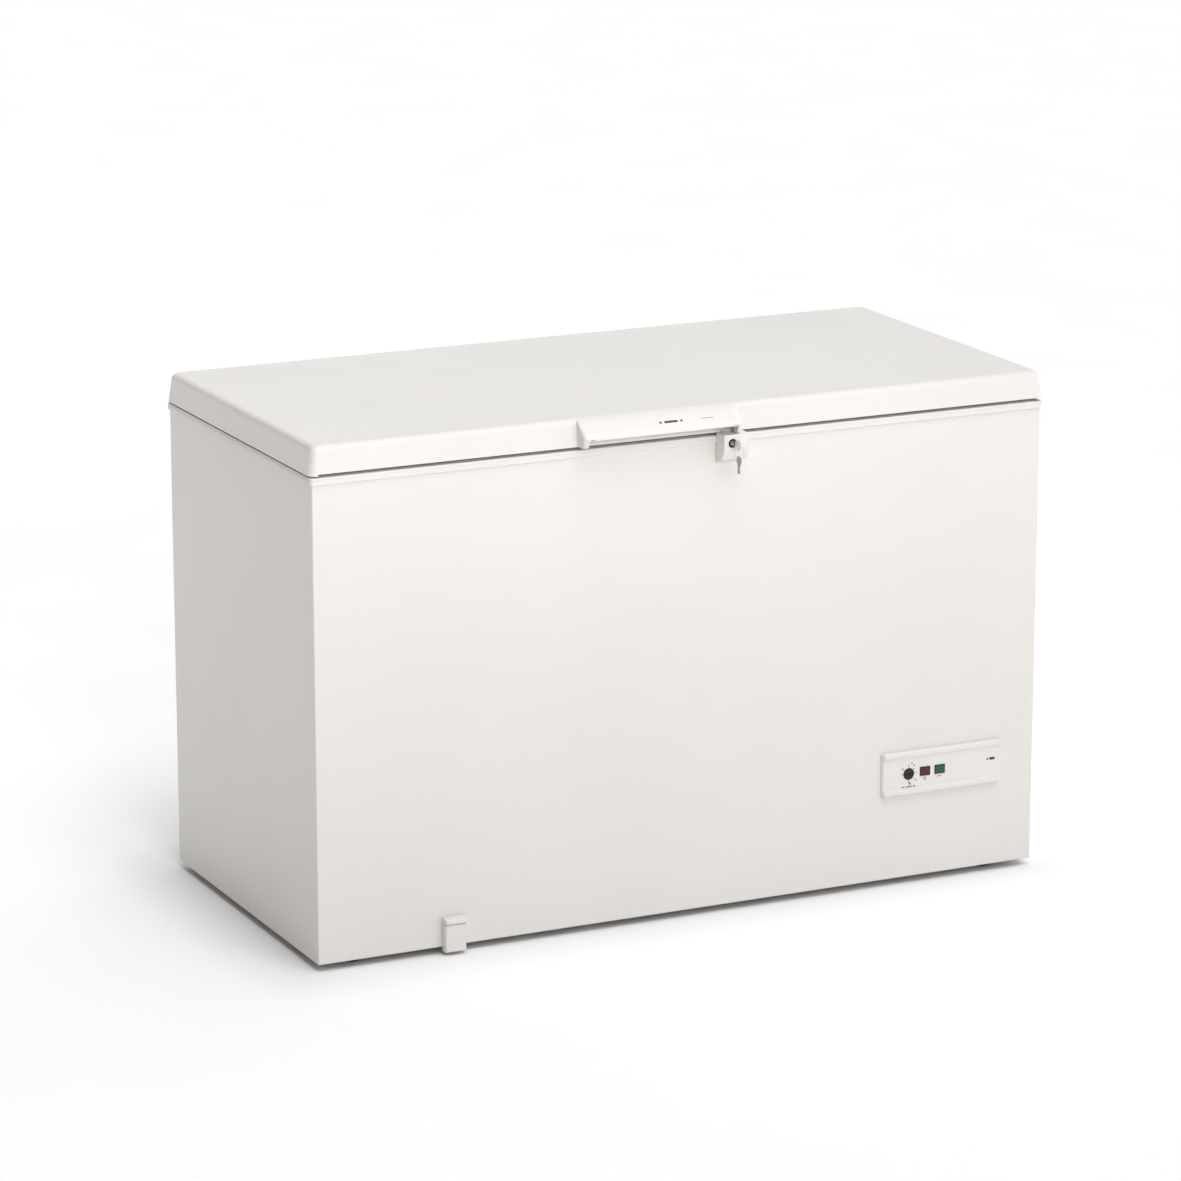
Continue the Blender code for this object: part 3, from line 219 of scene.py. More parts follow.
def stucco_liner(name):
    """White painted aluminium with the pebbled emboss of a freezer tank."""
    graph = Graph(name)
    graph.set(Specular_IOR_Level=0.55)
    graph.colours(graph.noise(4.0, 3.0), (0.3, (0.74, 0.75, 0.75)), (0.7, (0.79, 0.80, 0.80)))
    graph.roughness(graph.noise(14.0, 4.0), 0.28, 0.42)
    pebble = graph.cells(170.0, "Distance", "SMOOTH_F1")
    graph.bumps((pebble, 0.55, 0.0016), (graph.noise(600.0), 0.12, 0.0002))
    return graph.material


def foam_material(name):
    graph = Graph(name)
    graph.set(Specular_IOR_Level=0.2)
    cells = graph.noise(350.0, 6.0)
    graph.colours(cells, (0.25, (0.62, 0.45, 0.20)), (0.75, (0.86, 0.72, 0.42)))
    graph.roughness(cells, 0.85, 0.98)
    graph.bumps((cells, 0.6, 0.0008), (graph.cells(90.0), 0.4, 0.002))
    return graph.material


def rubber_material(name, colour, rough=0.7):
    graph = Graph(name)
    graph.set(Specular_IOR_Level=0.3, Sheen_Weight=0.08)
    dust = graph.noise(60.0, 6.0)
    graph.colours(dust, (0.3, shade(colour, 0.85)), (0.75, shade(colour, 1.25)))
    graph.roughness(dust, rough - 0.1, rough + 0.12)
    graph.bumps((graph.noise(900.0, 3.0), 0.25, 0.0002))
    return graph.material


def lens_material(name, dark, bright):
    """Coloured clear plastic over a prismatic back."""
    graph = Graph(name)
    graph.set(Coat_Weight=0.1, Coat_Roughness=0.1, Specular_IOR_Level=0.3)
    graph.colours(graph.cells(900.0, "Distance", "F1"), (0.05, dark), (0.6, bright))
    graph.roughness(graph.noise(40.0), 0.10, 0.22)
    graph.bumps((graph.cells(900.0, "Distance", "F1"), 0.10, 0.0003))
    return graph.material


def drawn_copper(name):
    graph = Graph(name)
    graph.set(Metallic=1.0)
    stain = graph.noise(22.0, 6.0)
    graph.colours(stain, (0.25, (0.36, 0.16, 0.09)), (0.55, (0.70, 0.36, 0.22)), (0.8, (0.80, 0.48, 0.32)))
    graph.roughness(stain, 0.48, 0.25)
    graph.bumps((graph.noise(500.0, 3.0), 0.12, 0.0001))
    return graph.material


ENAMEL_WHITE = (0.745, 0.722, 0.690)
PLASTIC_WHITE = (0.755, 0.735, 0.705)
MATERIALS = {
    "enamel": coated("enamel", ENAMEL_WHITE, 0.36, coat=0.25, peel=0.06),
    "white_plastic": coated("white_plastic", PLASTIC_WHITE, 0.38, peel=0.12, grain=1400.0),
    "trim_plastic": coated("trim_plastic", (0.745, 0.722, 0.692), 0.45, peel=0.18, grain=1600.0),
    "liner_white": stucco_liner("liner_white"),
    "lid_liner": coated("lid_liner", (0.77, 0.77, 0.76), 0.32, coat=0.1, peel=0.15, grain=300.0),
    "foam": foam_material("foam"),
    "galvanised": spangled_zinc("galvanised"),
    "black_enamel": coated("black_enamel", (0.018, 0.018, 0.020), 0.34, 0.5, 0.35, 250.0, 0.25),
    "black_plastic": coated("black_plastic", (0.022, 0.018, 0.016), 0.48, 0.0, 0.3, 1800.0, 0.15, 0.3),
    "rubber": rubber_material("rubber", (0.030, 0.030, 0.030)),
    "gasket": rubber_material("gasket", (0.42, 0.41, 0.39), 0.55),
    "copper": drawn_copper("copper"),
    "steel": bare_metal("steel", (0.56, 0.55, 0.53), 0.32, (1.0, 1.0, 12.0)),
    "key_metal": bare_metal("key_metal", (0.66, 0.65, 0.62), 0.22, (1.0, 12.0, 1.0), 900.0, 0.10),
    "spare_metal": bare_metal("spare_metal", (0.34, 0.33, 0.29), 0.30, (1.0, 1.0, 12.0), 900.0, 0.18),
    "barrel_metal": bare_metal("barrel_metal", (0.50, 0.49, 0.46), 0.25, (1.0, 1.0, 1.0), 1500.0),
    "zinc_bright": bare_metal("zinc_bright", (0.62, 0.63, 0.64), 0.30, (8.0, 1.0, 1.0), 500.0),
    "coated_wire": coated("coated_wire", (0.80, 0.80, 0.79), 0.30, coat=0.4, peel=0.08, grain=700.0),
    "red_lens": lens_material("red_lens", (0.028, 0.008, 0.009), (0.080, 0.020, 0.023)),
    "green_lens": lens_material("green_lens", (0.008, 0.040, 0.025), (0.022, 0.100, 0.062)),
    "ink": coated("ink", (0.045, 0.045, 0.048), 0.55, peel=0.05),
}


# ---------------------------------------------------------------- mesh helpers


def rounded_rect(x0, x1, y0, y1, radius, z, steps=8):
    """Points anticlockwise round a rectangle with round corners, at height z."""
    points = []
    for cx, cy, start in (
        (x1 - radius, y0 + radius, -90),
        (x1 - radius, y1 - radius, 0),
        (x0 + radius, y1 - radius, 90),
        (x0 + radius, y0 + radius, 180),
    ):
        for i in range(steps + 1):
            angle = math.radians(start + 90 * i / steps)
            points.append((cx + radius * math.cos(angle), cy + radius * math.sin(angle), z))
    return points


def flat_rect(x0, x1, y0, y1, radius):
    """The outline of a rectangle with round corners, as pairs."""
    return [(a, b) for a, b, _ in rounded_rect(x0, x1, y0, y1, radius, 0)]


def middle(node):
    """Centre of a CAD node's box."""
    return tuple((low + high) / 2 for low, high in zip(*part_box(node)))


def loft(rings, closed=False):
    """A skin over rings with equal point counts, with flat ends unless it closes on itself."""
    bm = bmesh.new()
    rows = [[bm.verts.new(point) for point in ring] for ring in rings]
    count = len(rows[0])
    pairs = list(zip(rows, rows[1:])) + ([(rows[-1], rows[0])] if closed else [])
    for low, high in pairs:
        for i in range(count):
            j = (i + 1) % count
            bm.faces.new((low[i], low[j], high[j], high[i]))
    if not closed:
        bm.faces.new(rows[0])
        bm.faces.new(rows[-1])
    bmesh.ops.recalc_face_normals(bm, faces=bm.faces)
    return bm


def box(x0, x1, y0, y1, z0, z1):
    bm = bmesh.new()
    bmesh.ops.create_cube(bm, size=1.0)
    for vert in bm.verts:
        vert.co.x = x1 if vert.co.x > 0 else x0
        vert.co.y = y1 if vert.co.y > 0 else y0
        vert.co.z = z1 if vert.co.z > 0 else z0
    return bm


def soft_box(x0, x1, y0, y1, z0, z1, radius, segments=4):
    bm = box(x0, x1, y0, y1, z0, z1)
    round_edges(bm, bm.edges[:], radius, segments)
    return bm


def round_edges(bm, edges, radius, segments):
    bmesh.ops.bevel(bm, geom=edges, offset=radius, segments=segments, profile=0.5, affect="EDGES")


PLACE = {
    "X": lambda a, b, c: (c, a, b),
    "Y": lambda a, b, c: (a, c, b),
    "Z": lambda a, b, c: (a, b, c),
}


def prism(outline, low, high, axis="X"):
    """An outline extruded along one axis. On X it holds (y, z), on Y (x, z) and on Z (x, y)."""
    return loft([[PLACE[axis](a, b, c) for a, b in outline] for c in (low, high)])


def arc(cx, cy, radius, start, end, steps=8):
    angles = [math.radians(start + (end - start) * i / steps) for i in range(steps + 1)]
    return [(cx + radius * math.cos(a), cy + radius * math.sin(a)) for a in angles]


def circle(cx, cy, radius, steps=48):
    return arc(cx, cy, radius, 0, 360 * (steps - 1) / steps, steps - 1)


def turned(profile, centre, axis, steps=48, closed=False):
    """A body of revolution. The profile holds (radius, distance along the axis) from the centre."""
    rings = []
    for radius, along in profile:
        ring = [PLACE[axis](a, b, along) for a, b in circle(0, 0, radius, steps)]
        rings.append([Vector(centre) + Vector(point) for point in ring])
    return loft(rings, closed)


def rod(centre, axis, radius, low, high, steps=32):
    return turned([(radius, low), (radius, high)], centre, axis, steps)


def round_corners(corners, radius, steps=6, closed=False):
    """A route with each corner rounded by a parabola."""
    route = [Vector(corner) for corner in corners]
    if closed:
        triples = [(route[i - 1], route[i], route[(i + 1) % len(route)]) for i in range(len(route))]
    else:
        triples = list(zip(route, route[1:], route[2:]))
    points = [] if closed else [route[0]]
    for before, here, after in triples:
        reach = min(radius, 0.45 * (before - here).length, 0.45 * (after - here).length)
        start = here + (before - here).normalized() * reach
        end = here + (after - here).normalized() * reach
        for i in range(steps + 1):
            t = i / steps
            points.append(start * (1 - t) ** 2 + here * 2 * t * (1 - t) + end * t**2)
    if not closed:
        points.append(route[-1])
    return points


def sweep(points, radius, sides=8, closed=False):
    """A round tube along a route, without twist."""
    route = [Vector(point) for point in points]
    count = len(route)
    first = (route[1] - route[0]).normalized()
    across = first.orthogonal().normalized()
    rings = []
    for i, here in enumerate(route):
        if closed:
            along = (route[(i + 1) % count] - route[i - 1]).normalized()
        else:
            along = (route[min(i + 1, count - 1)] - route[max(i - 1, 0)]).normalized()
        across = (across - along * across.dot(along)).normalized()
        up = along.cross(across)
        turns = [2 * math.pi * k / sides for k in range(sides)]
        rings.append([here + radius * (math.cos(t) * across + math.sin(t) * up) for t in turns])
    return loft(rings, closed)


def joined(*bodies):
    """Several closed shapes in one bmesh."""
    whole = bmesh.new()
    for body in bodies:
        mesh = bpy.data.meshes.new("shape")
        bmesh.ops.recalc_face_normals(body, faces=body.faces)
        body.to_mesh(mesh)
        body.free()
        whole.from_mesh(mesh)
        bpy.data.meshes.remove(mesh)
    return whole


def turned_bm(bm, angle, axis, centre):
    """The same bmesh turned by an angle in degrees about an axis through a centre."""
    turn = Matrix.Rotation(math.radians(angle), 3, axis)
    bmesh.ops.rotate(bm, verts=bm.verts, cent=Vector(centre), matrix=turn)
    return bm


def make_object(name, bm):
    bmesh.ops.recalc_face_normals(bm, faces=bm.faces)
    mesh = bpy.data.meshes.new(name)
    bm.to_mesh(mesh)
    bm.free()
    return placed(name, mesh)


def placed(name, data):
    obj = bpy.data.objects.new(name, data)
    bpy.context.scene.collection.objects.link(obj)
    return obj


def taken(obj):
    """The object's mesh as a new bmesh; the object itself is removed."""
    bm = bmesh.new()
    bm.from_mesh(obj.data)
    bpy.data.objects.remove(obj, do_unlink=True)
    return bm


def bake_modifiers(obj):
    """Applies the object's modifiers to its mesh."""
    graph = bpy.context.evaluated_depsgraph_get()
    mesh = bpy.data.meshes.new_from_object(obj.evaluated_get(graph))
    obj.modifiers.clear()
    old = obj.data
    obj.data = mesh
    bpy.data.meshes.remove(old)


def boolean(obj, bm, operation="DIFFERENCE"):
    helper = make_object("helper", bm)
    modifier = obj.modifiers.new(operation, "BOOLEAN")
    modifier.operation = operation
    modifier.object = helper
    bake_modifiers(obj)
    bpy.data.objects.remove(helper, do_unlink=True)
    return obj


def soften(obj, width, segments=3, angle=35):
    """Rounds the edges sharper than the angle, by the width."""
    modifier = obj.modifiers.new("bevel", "BEVEL")
    modifier.width = width
    modifier.segments = segments
    modifier.limit_method = "ANGLE"
    modifier.angle_limit = math.radians(angle)
    modifier.use_clamp_overlap = True
    bake_modifiers(obj)
    return obj


def dress(obj, body, finish, replaces=(), sharp=35):
    """Shading, material and place in the frame for a finished mesh."""
    obj.data.materials.clear()
    obj.data.materials.append(MATERIALS[finish])
    obj.data.shade_smooth()
    obj.data.set_sharp_from_angle(angle=math.radians(sharp))
    modifier = obj.modifiers.new("even_normals", "WEIGHTED_NORMAL")
    modifier.keep_sharp = True
    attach(obj, body)
    if replaces:
        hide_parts(*replaces)
    return obj


def piece(name, bm, body, finish, replaces=(), cuts=(), joins=(), bevel=0.0, segments=3, sharp=35):
    obj = make_object(name, bm)
    for join in joins:
        boolean(obj, join, "UNION")
    for cut in cuts:
        boolean(obj, cut)
    if bevel:
        soften(obj, bevel, segments)
    return dress(obj, body, finish, replaces, sharp)


def refined(node, name, body, finish, bevel=0.0004, segments=2):
    """A piece with the CAD node's shape, its flat faces made whole and its edges softened."""
    bm = bmesh.new()
    bm.from_mesh(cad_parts[node].data)
    bmesh.ops.remove_doubles(bm, verts=bm.verts, dist=1e-6)
    bmesh.ops.dissolve_limit(bm, angle_limit=math.radians(1), verts=bm.verts, edges=bm.edges)
    return piece(name, bm, body, finish, (node,), bevel=bevel, segments=segments)


# ---------------------------------------------------------------- cabinet


def plan_ring(inset, z, steps=8):
    """A ring of the cabinet's outline, set in from its outer face."""
    radius = max(CORNER - inset, 0.0004)
    return rounded_rect(-HALF + inset, HALF - inset, FRONT + inset, BACK - inset, radius, z, steps)


def cabinet_wrapper():
    """One sheet round the front and both ends, folded in along the bottom and at the back."""
    bend = 0.0024
    outer = [(bend * (1 - math.cos(a)), BASE + bend * (1 - math.sin(a))) for a in quarter()]
    inner_bend = bend - SHEET
    inner = [
        (SHEET + inner_bend * (1 - math.cos(a)), BASE + SHEET + inner_bend * (1 - math.sin(a)))
        for a in reversed(quarter())
    ]
    profile = [(0.0, PANEL_TOP), *outer, (0.012, BASE), (0.012, BASE + SHEET), *inner, (SHEET, PANEL_TOP)]
    shell = loft([plan_ring(inset, z) for inset, z in profile], closed=True)
    opening = box(-HALF + RETURN, HALF - RETURN, BACK - 0.0135, BACK + 0.01, -0.1, 1.0)
    outlet = rod((DRAIN_X, FRONT, DRAIN_Z), "Y", 0.0125, -0.01, 0.01)
    window = box(*WINDOW_X, FRONT - 0.01, FRONT + 0.01, *WINDOW_Z)
    panels = ("front_panel", "left_side_panel", "right_side_panel")
    piece("cabinet_wrapper", shell, "cabinet", "enamel", replaces=panels, cuts=(opening, outlet, window))


def quarter(steps=5):
    return [math.radians(90 * i / steps) for i in range(steps + 1)]


def back_panel():
    """Flat zinc sheet with pressed beads that stiffen it."""
    refined("back_panel", "back_sheet", "cabinet", "galvanised", bevel=0.0)
    beads = []
    half = 0.009
    for z in (0.36, 0.47, 0.58, 0.69, 0.12, 0.23):
        end = 0.60 if z > 0.3 else 0.32
        beads.append(soft_box(-0.60, end, BACK - 0.0006, BACK + 0.0016, z - half, z + half, 0.0010, 3))
    piece("back_beads", joined(*beads), "cabinet", "galvanised")


def rim_frame():
    """Moulding round the tank's mouth: rounded outer skirt, flat top and the basket ledge."""
    low, top, skirt, ledge = RIM_LOW.z, RIM_HIGH.z, SKIRT_LOW, LEDGE_Z
    r_low, r_top, r_in = 0.0014, 0.0022, 0.0018
    profile = [(r_low * (1 - math.sin(a)), skirt + r_low * (1 - math.cos(a)), 0.0062) for a in quarter(4)]
    profile += [(0.0, top - 0.0052, 0.0062), (0.0006, top - 0.0048, 0.0060), (0.0006, top - 0.0044, 0.0060)]
    profile += [(0.0, top - 0.0040, 0.0062)]
    profile += [(r_top * (1 - math.cos(a)), top - r_top * (1 - math.sin(a)), 0.0062) for a in quarter(4)]
    profile += [(0.0700, top, 0.0345), (0.0704, top - 0.0004, 0.0345), (0.0708, top, 0.0345)]
    profile += [
        (0.0742 - r_in * (1 - math.sin(a)), top - r_in * (1 - math.cos(a)), 0.0325) for a in quarter(4)
    ]
    profile += [(0.0742, ledge + 0.0012, 0.0325), (0.0746, ledge + 0.0004, 0.0322), (0.0754, ledge, 0.0320)]
    profile += [(0.0820, ledge, 0.0260), (0.0828, ledge - 0.0004, 0.0256), (0.0830, ledge - 0.0010, 0.0255)]
    profile += [(0.0830, low + 0.0004, 0.0255), (0.0826, low, 0.0258), (0.0719, low, 0.0345)]
    profile += [(0.0719, PANEL_TOP + GAP, 0.0345), (0.0031, PANEL_TOP + GAP, 0.003), (0.0031, skirt, 0.003)]
    side, front, back = RIM_HIGH.x, RIM_LOW.y, RIM_HIGH.y
    rings = [rounded_rect(i - side, side - i, front + i, back - i, radius, z) for i, z, radius in profile]
    moulding = loft(rings, closed=True)
    piece("rim_moulding", moulding, "cabinet", "trim_plastic", replaces=("rim_frame",), sharp=40)


def tank_liner():
    """The tank's embossed skin, with coved edges, open at the top."""
    x0, x1 = TANK_LOW.x + TANK_SKIN, TANK_HIGH.x - TANK_SKIN
    y0, y1 = TANK_LOW.y + TANK_SKIN, TANK_HIGH.y - TANK_SKIN
    floor, top = TANK_LOW.z + TANK_SKIN, TANK_HIGH.z
    outline = [(x0, floor), (STEP_X, floor), (STEP_X, STEP_Z), (x1, STEP_Z), (x1, top), (x0, top)]
    bm = prism(outline, y0, y1, "Y")
    upright, floors = [], []
    for edge in bm.edges:
        a, b = edge.verts[0].co, edge.verts[1].co
        if abs(a.x - b.x) < 1e-6 and abs(a.y - b.y) < 1e-6 and abs(a.x - STEP_X) > 1e-3:
            upright.append(edge)
    round_edges(bm, upright, TANK_CORNER, 10)
    for edge in bm.edges:
        a, b = edge.verts[0].co, edge.verts[1].co
        level = abs(a.z - b.z) < 1e-6
        if level and (abs(a.z - floor) < 1e-6 or abs(a.z - STEP_Z) < 1e-6):
            floors.append(edge)
    round_edges(bm, floors, TANK_COVE, 6)
    lid_faces = [face for face in bm.faces if abs(face.calc_center_median().z - top) < 1e-5]
    bmesh.ops.delete(bm, geom=lid_faces, context="FACES_ONLY")
    bmesh.ops.reverse_faces(bm, faces=bm.faces)
    mesh = bpy.data.meshes.new("tank_skin")
    bm.to_mesh(mesh)
    bm.free()
    obj = placed("tank_skin", mesh)
    solid = obj.modifiers.new("thickness", "SOLIDIFY")
    solid.thickness = TANK_SKIN - 0.0001
    solid.offset = -1.0
    bake_modifiers(obj)
    boolean(obj, rod((DRAIN_X, PLUG_Y, floor), "Z", 0.009, -0.01, 0.01))
    dress(obj, "cabinet", "liner_white", replaces=("inner_liner",))


def feet():
    for node in ("foot_front_left", "foot_front_right", "foot_back_left", "foot_back_right"):
        x, y, _ = middle(node)
        profile = [(0.0170, 0.0), (0.0195, 0.0004), (0.0212, 0.0016), (0.0219, 0.0032)]
        profile += [(0.0219, 0.0066), (0.0212, 0.0080), (0.0195, 0.0088), (0.0160, 0.0092)]
        profile += [(0.0160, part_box(node)[1].z)]
        spots = circle(x, y, 0.0224, 24)
        grooves = joined(*[rod((a, b, 0.005), "Z", 0.0009, -0.01, 0.01, 8) for a, b in spots])
        body = turned(profile, (x, y, 0.0), "Z")
        piece(f"{node}_ribbed", body, "cabinet", "black_plastic", replaces=(node,), cuts=(grooves,))


# ---------------------------------------------------------------- lid


def lid_ring(lean, z, inset=0.0, drop=0.0, steps=8):
    """A ring up the lid's outer surface. lean is 0 at the lower edge, 1 where the top edge starts."""
    upright, turn = min(lean, 1.0), max(lean - 1.0, 0.0)
    side = LID_HIGH.x - LID_LEAN * lean - inset
    front = LID_LOW.y + 0.0030 * upright + LID_LEAN * turn + inset
    back = LID_HIGH.y - 0.0020 * upright - LID_LEAN * turn - inset
    return rounded_rect(-side, side, front, back, LID_PLAN_CORNER - min(inset, 0.012), z - drop, steps)


def lid_edge(grow=0.0):
    """Rings round the lid's top edge, from where it starts to turn, grown outwards."""
    start = LID_HIGH.z - LID_EDGE
    rings = [lid_ring(1.0, start, -grow)]
    for i in range(1, 9):
        a = math.radians(90 * i / 8)
        lean = 1.0 + LID_EDGE * (1 - math.cos(a)) / LID_LEAN
        rings.append(lid_ring(lean, start + LID_EDGE * math.sin(a) + grow, -grow))
    return rings


def lid_cover():
    """Pressed steel lid: leaning sides, a round top edge, and a shallow panel inside a border."""
    rings = [lid_ring(0.0, LID_LOW.z), lid_ring(0.0, LID_LOW.z + 0.0005), *lid_edge()]
    crest = 1.0 + LID_EDGE / LID_LEAN
    for inset, drop in ((0.004, 0.0), (0.008, 0.0003), (0.012, 0.0006), (0.030, 0.0006)):
        rings.append(lid_ring(crest, LID_HIGH.z, inset, drop))
    under = [lid_ring(0.0, LID_LOW.z, LID_SKIN), lid_ring(1.0, LID_HIGH.z - LID_EDGE, LID_SKIN)]
    under.append(lid_ring(crest, LID_HIGH.z, LID_SKIN, LID_SKIN + 0.0006))
    body = loft(under[::-1] + rings)
    reach = LID_HIGH.x - SKIRT_INSET
    notch = box(-reach, reach, LID_LOW.y - 0.01, LID_LOW.y + 0.006, LID_LOW.z - 0.01, SKIRT_Z)
    obj = make_object("lid_cover", body)
    boolean(obj, notch)
    dress(obj, "lid", "enamel", replaces=("lid_skin",))


def dish_ring(inset, z, radius=0.03):
    reach = LID_HIGH.x - inset
    return rounded_rect(-reach, reach, LID_LOW.y + inset, LID_HIGH.y - inset, radius, z, 10)


def lid_inner():
    """Vacuum-formed inner lid: border for the seal, rounded dish and a few shallow grooves."""
    high, low, deep = DISH_HIGH.z, DISH_HIGH.z - 0.0015, DISH_LOW.z
    outer = [(0.0035, low, 0.011), (0.0170, low, 0.020), (0.0380, low, 0.026)]
    outer += [(0.0400, low + 0.0006, 0.028), (0.0840, low, 0.030)]
    for a in quarter(5)[1:]:
        outer.append((0.0840 + 0.0050 * math.sin(a), low - 0.0050 * (1 - math.cos(a)), 0.030))
    outer += [(0.0945, deep + 0.0050, 0.030)]
    for a in quarter(5)[1:]:
        outer.append((0.0945 + 0.0050 * (1 - math.cos(a)), deep + 0.0050 * (1 - math.sin(a)), 0.030))
    inner = [(0.1010, deep + 0.0015, 0.030), (0.0960, deep + 0.0060, 0.030), (0.0900, high, 0.030)]
    inner += [(0.0035, high, 0.011)]
    rings = [dish_ring(*spot) for spot in inner + outer]
    grooves = []
    for i in range(-3, 4):
        x = i * 0.155
        grooves.append(soft_box(x - 0.014, x + 0.014, -0.17, 0.22, deep - 0.0030, deep + 0.0007, 0.0005, 2))
    cuts = (joined(*grooves),)
    piece("lid_inner_panel", loft(rings), "lid", "lid_liner", ("lid_liner",), cuts)


def lid_seal():
    """Magnetic gasket: a flat foot, a bellows waist and a soft face that meets the rim."""
    low, high = SEAL_LOW.z, SEAL_HIGH.z
    section = [(0.0205, 0.0), (0.0205, 0.18), (0.0228, 0.28), (0.0215, 0.40), (0.0207, 0.62), (0.0209, 0.86)]
    section += [(0.0222, 1.0), (0.0328, 1.0), (0.0341, 0.86), (0.0343, 0.62), (0.0330, 0.40), (0.0322, 0.28)]
    section += [(0.0345, 0.18), (0.0345, 0.0)]
    rings = [dish_ring(inset, high - depth * (high - low), 0.020) for inset, depth in section]
    piece("lid_seal", loft(rings, closed=True), "lid", "gasket", replaces=("lid_gasket",), sharp=60)


# ---------------------------------------------------------------- handle


END_RADIUS = 0.013
FOOT = 0.0095
END_STEPS = [END_RADIUS * (1 - math.cos(math.radians(a))) for a in (0, 14, 28, 40, 52, 62, 71, 80, 90)]


def visor_curve(inset=0.0):
    """Side outline of the handle's outer face, from the lid's top edge down to the front lip, as (y, z)."""
    top = GRIP_HIGH.z - inset
    slope = [(-0.012, 0.0), (-0.003, 0.0006), (0.004, 0.0026), (0.011, 0.0070), (0.019, 0.0128)]
    slope += [(0.027, 0.0192), (0.0325, 0.0242), (0.0358, 0.0284)]
    curve = [(FRONT - reach, top + 0.0003 - fall) for reach, fall in slope]
    return curve + [(GRIP_LOW.y + 0.0003 + inset, LIP_Z + 0.0028)]


def handle_visor():
    """Sloping face with a rolled lip, and rounded ends that reach down behind the lip."""
    left, right = GRIP_LOW.x, GRIP_HIGH.x
    turn = ((0.0001, 0.0014), (0.0008, 0.0002), (0.0020, 0.0), (0.0031, 0.0010))
    lip = [(GRIP_LOW.y + back, LIP_Z + rise) for back, rise in turn]
    section = visor_curve() + lip + visor_curve(0.003)[::-1]
    rings = [end_ring(section, left, t) for t in END_STEPS]
    rings += [end_ring(section, left, t, left + right) for t in reversed(END_STEPS)]
    face = make_object("face", loft(rings))
    boolean(face, loft(lid_body_rings()))
    for mirror in (None, left + right):
        boolean(face, end_box(left, mirror, (0.0100, 0.0180), (-0.0400, -0.0300), (0.0016, 0.0028)))
    feet = [handle_foot(left, mirror) for mirror in (None, left + right)]
    obj = make_object("handle_visor", joined(taken(face), *feet))
    soften(obj, 0.0006, 2, 50)
    dress(obj, "lid", "white_plastic", replaces=("lid_handle",))


def handle_foot(left, mirror):
    """Solid end of the handle, behind its face and below it, thin where the lock's hook passes."""
    section = visor_curve(0.0004) + foot_outline()
    steps = [t + 0.0004 for t in END_STEPS if t < FOOT] + [FOOT]
    foot = make_object("foot", loft([end_ring(section, left, t, mirror) for t in steps]))
    boolean(foot, loft(lid_body_rings()))
    boolean(foot, end_box(left, mirror, (0.0036, 0.0300), (-0.0155, 0.0500), (-0.05, 0.0005)))
    return taken(foot)


def foot_outline():
    """Lower outline of the handle's ends, from the lip down to the tip and back to the lid."""
    lip = [(GRIP_LOW.y + 0.0028, LIP_Z - 0.0012), (GRIP_LOW.y + 0.0048, LIP_Z - 0.0052)]
    tip = [(FRONT - 0.0320, 0.8745), (FRONT - 0.0300, TIP_Z + 0.0020), (FRONT - 0.0270, TIP_Z + 0.0002)]
    return [*lip, *tip, (FRONT + 0.010, TIP_Z + 0.0001)]


def end_ring(section, left, along, mirror=None):
    """The section at a distance from the left end, drawn in so that the handle's end is round."""
    fall = 1 - math.sqrt(max(0.0, 1 - ((END_RADIUS - along) / END_RADIUS) ** 2))
    x = left + along
    if mirror is not None:
        x = mirror - x
    ring = []
    for y, z in section:
        reach = min(1.0, max(0.0, (FRONT + 0.002 - y) / 0.040))
        height = min(1.0, max(0.0, (z - LIP_Z) / 0.012))
        ring.append((x, y + 0.0085 * fall * reach, z - 0.0020 * fall * height))
    return ring


def end_box(left, mirror, across, deep, tall):
    """A cutting box given from the handle's end, from the cabinet's front and from the lip."""
    x0, x1 = left + across[0], left + across[1]
    if mirror is not None:
        x0, x1 = mirror - x1, mirror - x0
    return box(x0, x1, FRONT + deep[0], FRONT + deep[1], LIP_Z + tall[0], LIP_Z + tall[1])


def lid_body_rings(grow=0.0002):
    """The lid's outer shape, slightly grown, for cutting the handle to it."""
    return [lid_ring(0.0, LID_LOW.z - 0.002, -grow), *lid_edge(grow)]


def handle_mark():
    """Plain printed mark on the handle's face: a bar between two dots, with a hairline beside it."""
    y0, z0 = FRONT - 0.0225, GRIP_HIGH.z - 0.0153
    slope = math.degrees(math.atan2(0.0064, 0.0080))
    dot = 0.0046
    shapes = ((-0.0650, dot, dot), (-0.045, 0.0260, dot), (-0.0250, dot, dot), (0.024, 0.022, 0.0009))
    parts = []
    for x, wide, tall in shapes:
        radius = min(wide, tall) * 0.45
        outline = flat_rect(x - wide / 2, x + wide / 2, y0 - tall / 2, y0 + tall / 2, radius)
        parts.append(prism(outline, z0 - 0.0001, z0 + 0.00005, "Z"))
    mark = joined(*parts)
    turned_bm(mark, slope, "X", (0, y0, z0))
    piece("handle_mark", mark, "lid", "ink")


# ---------------------------------------------------------------- lock and keys


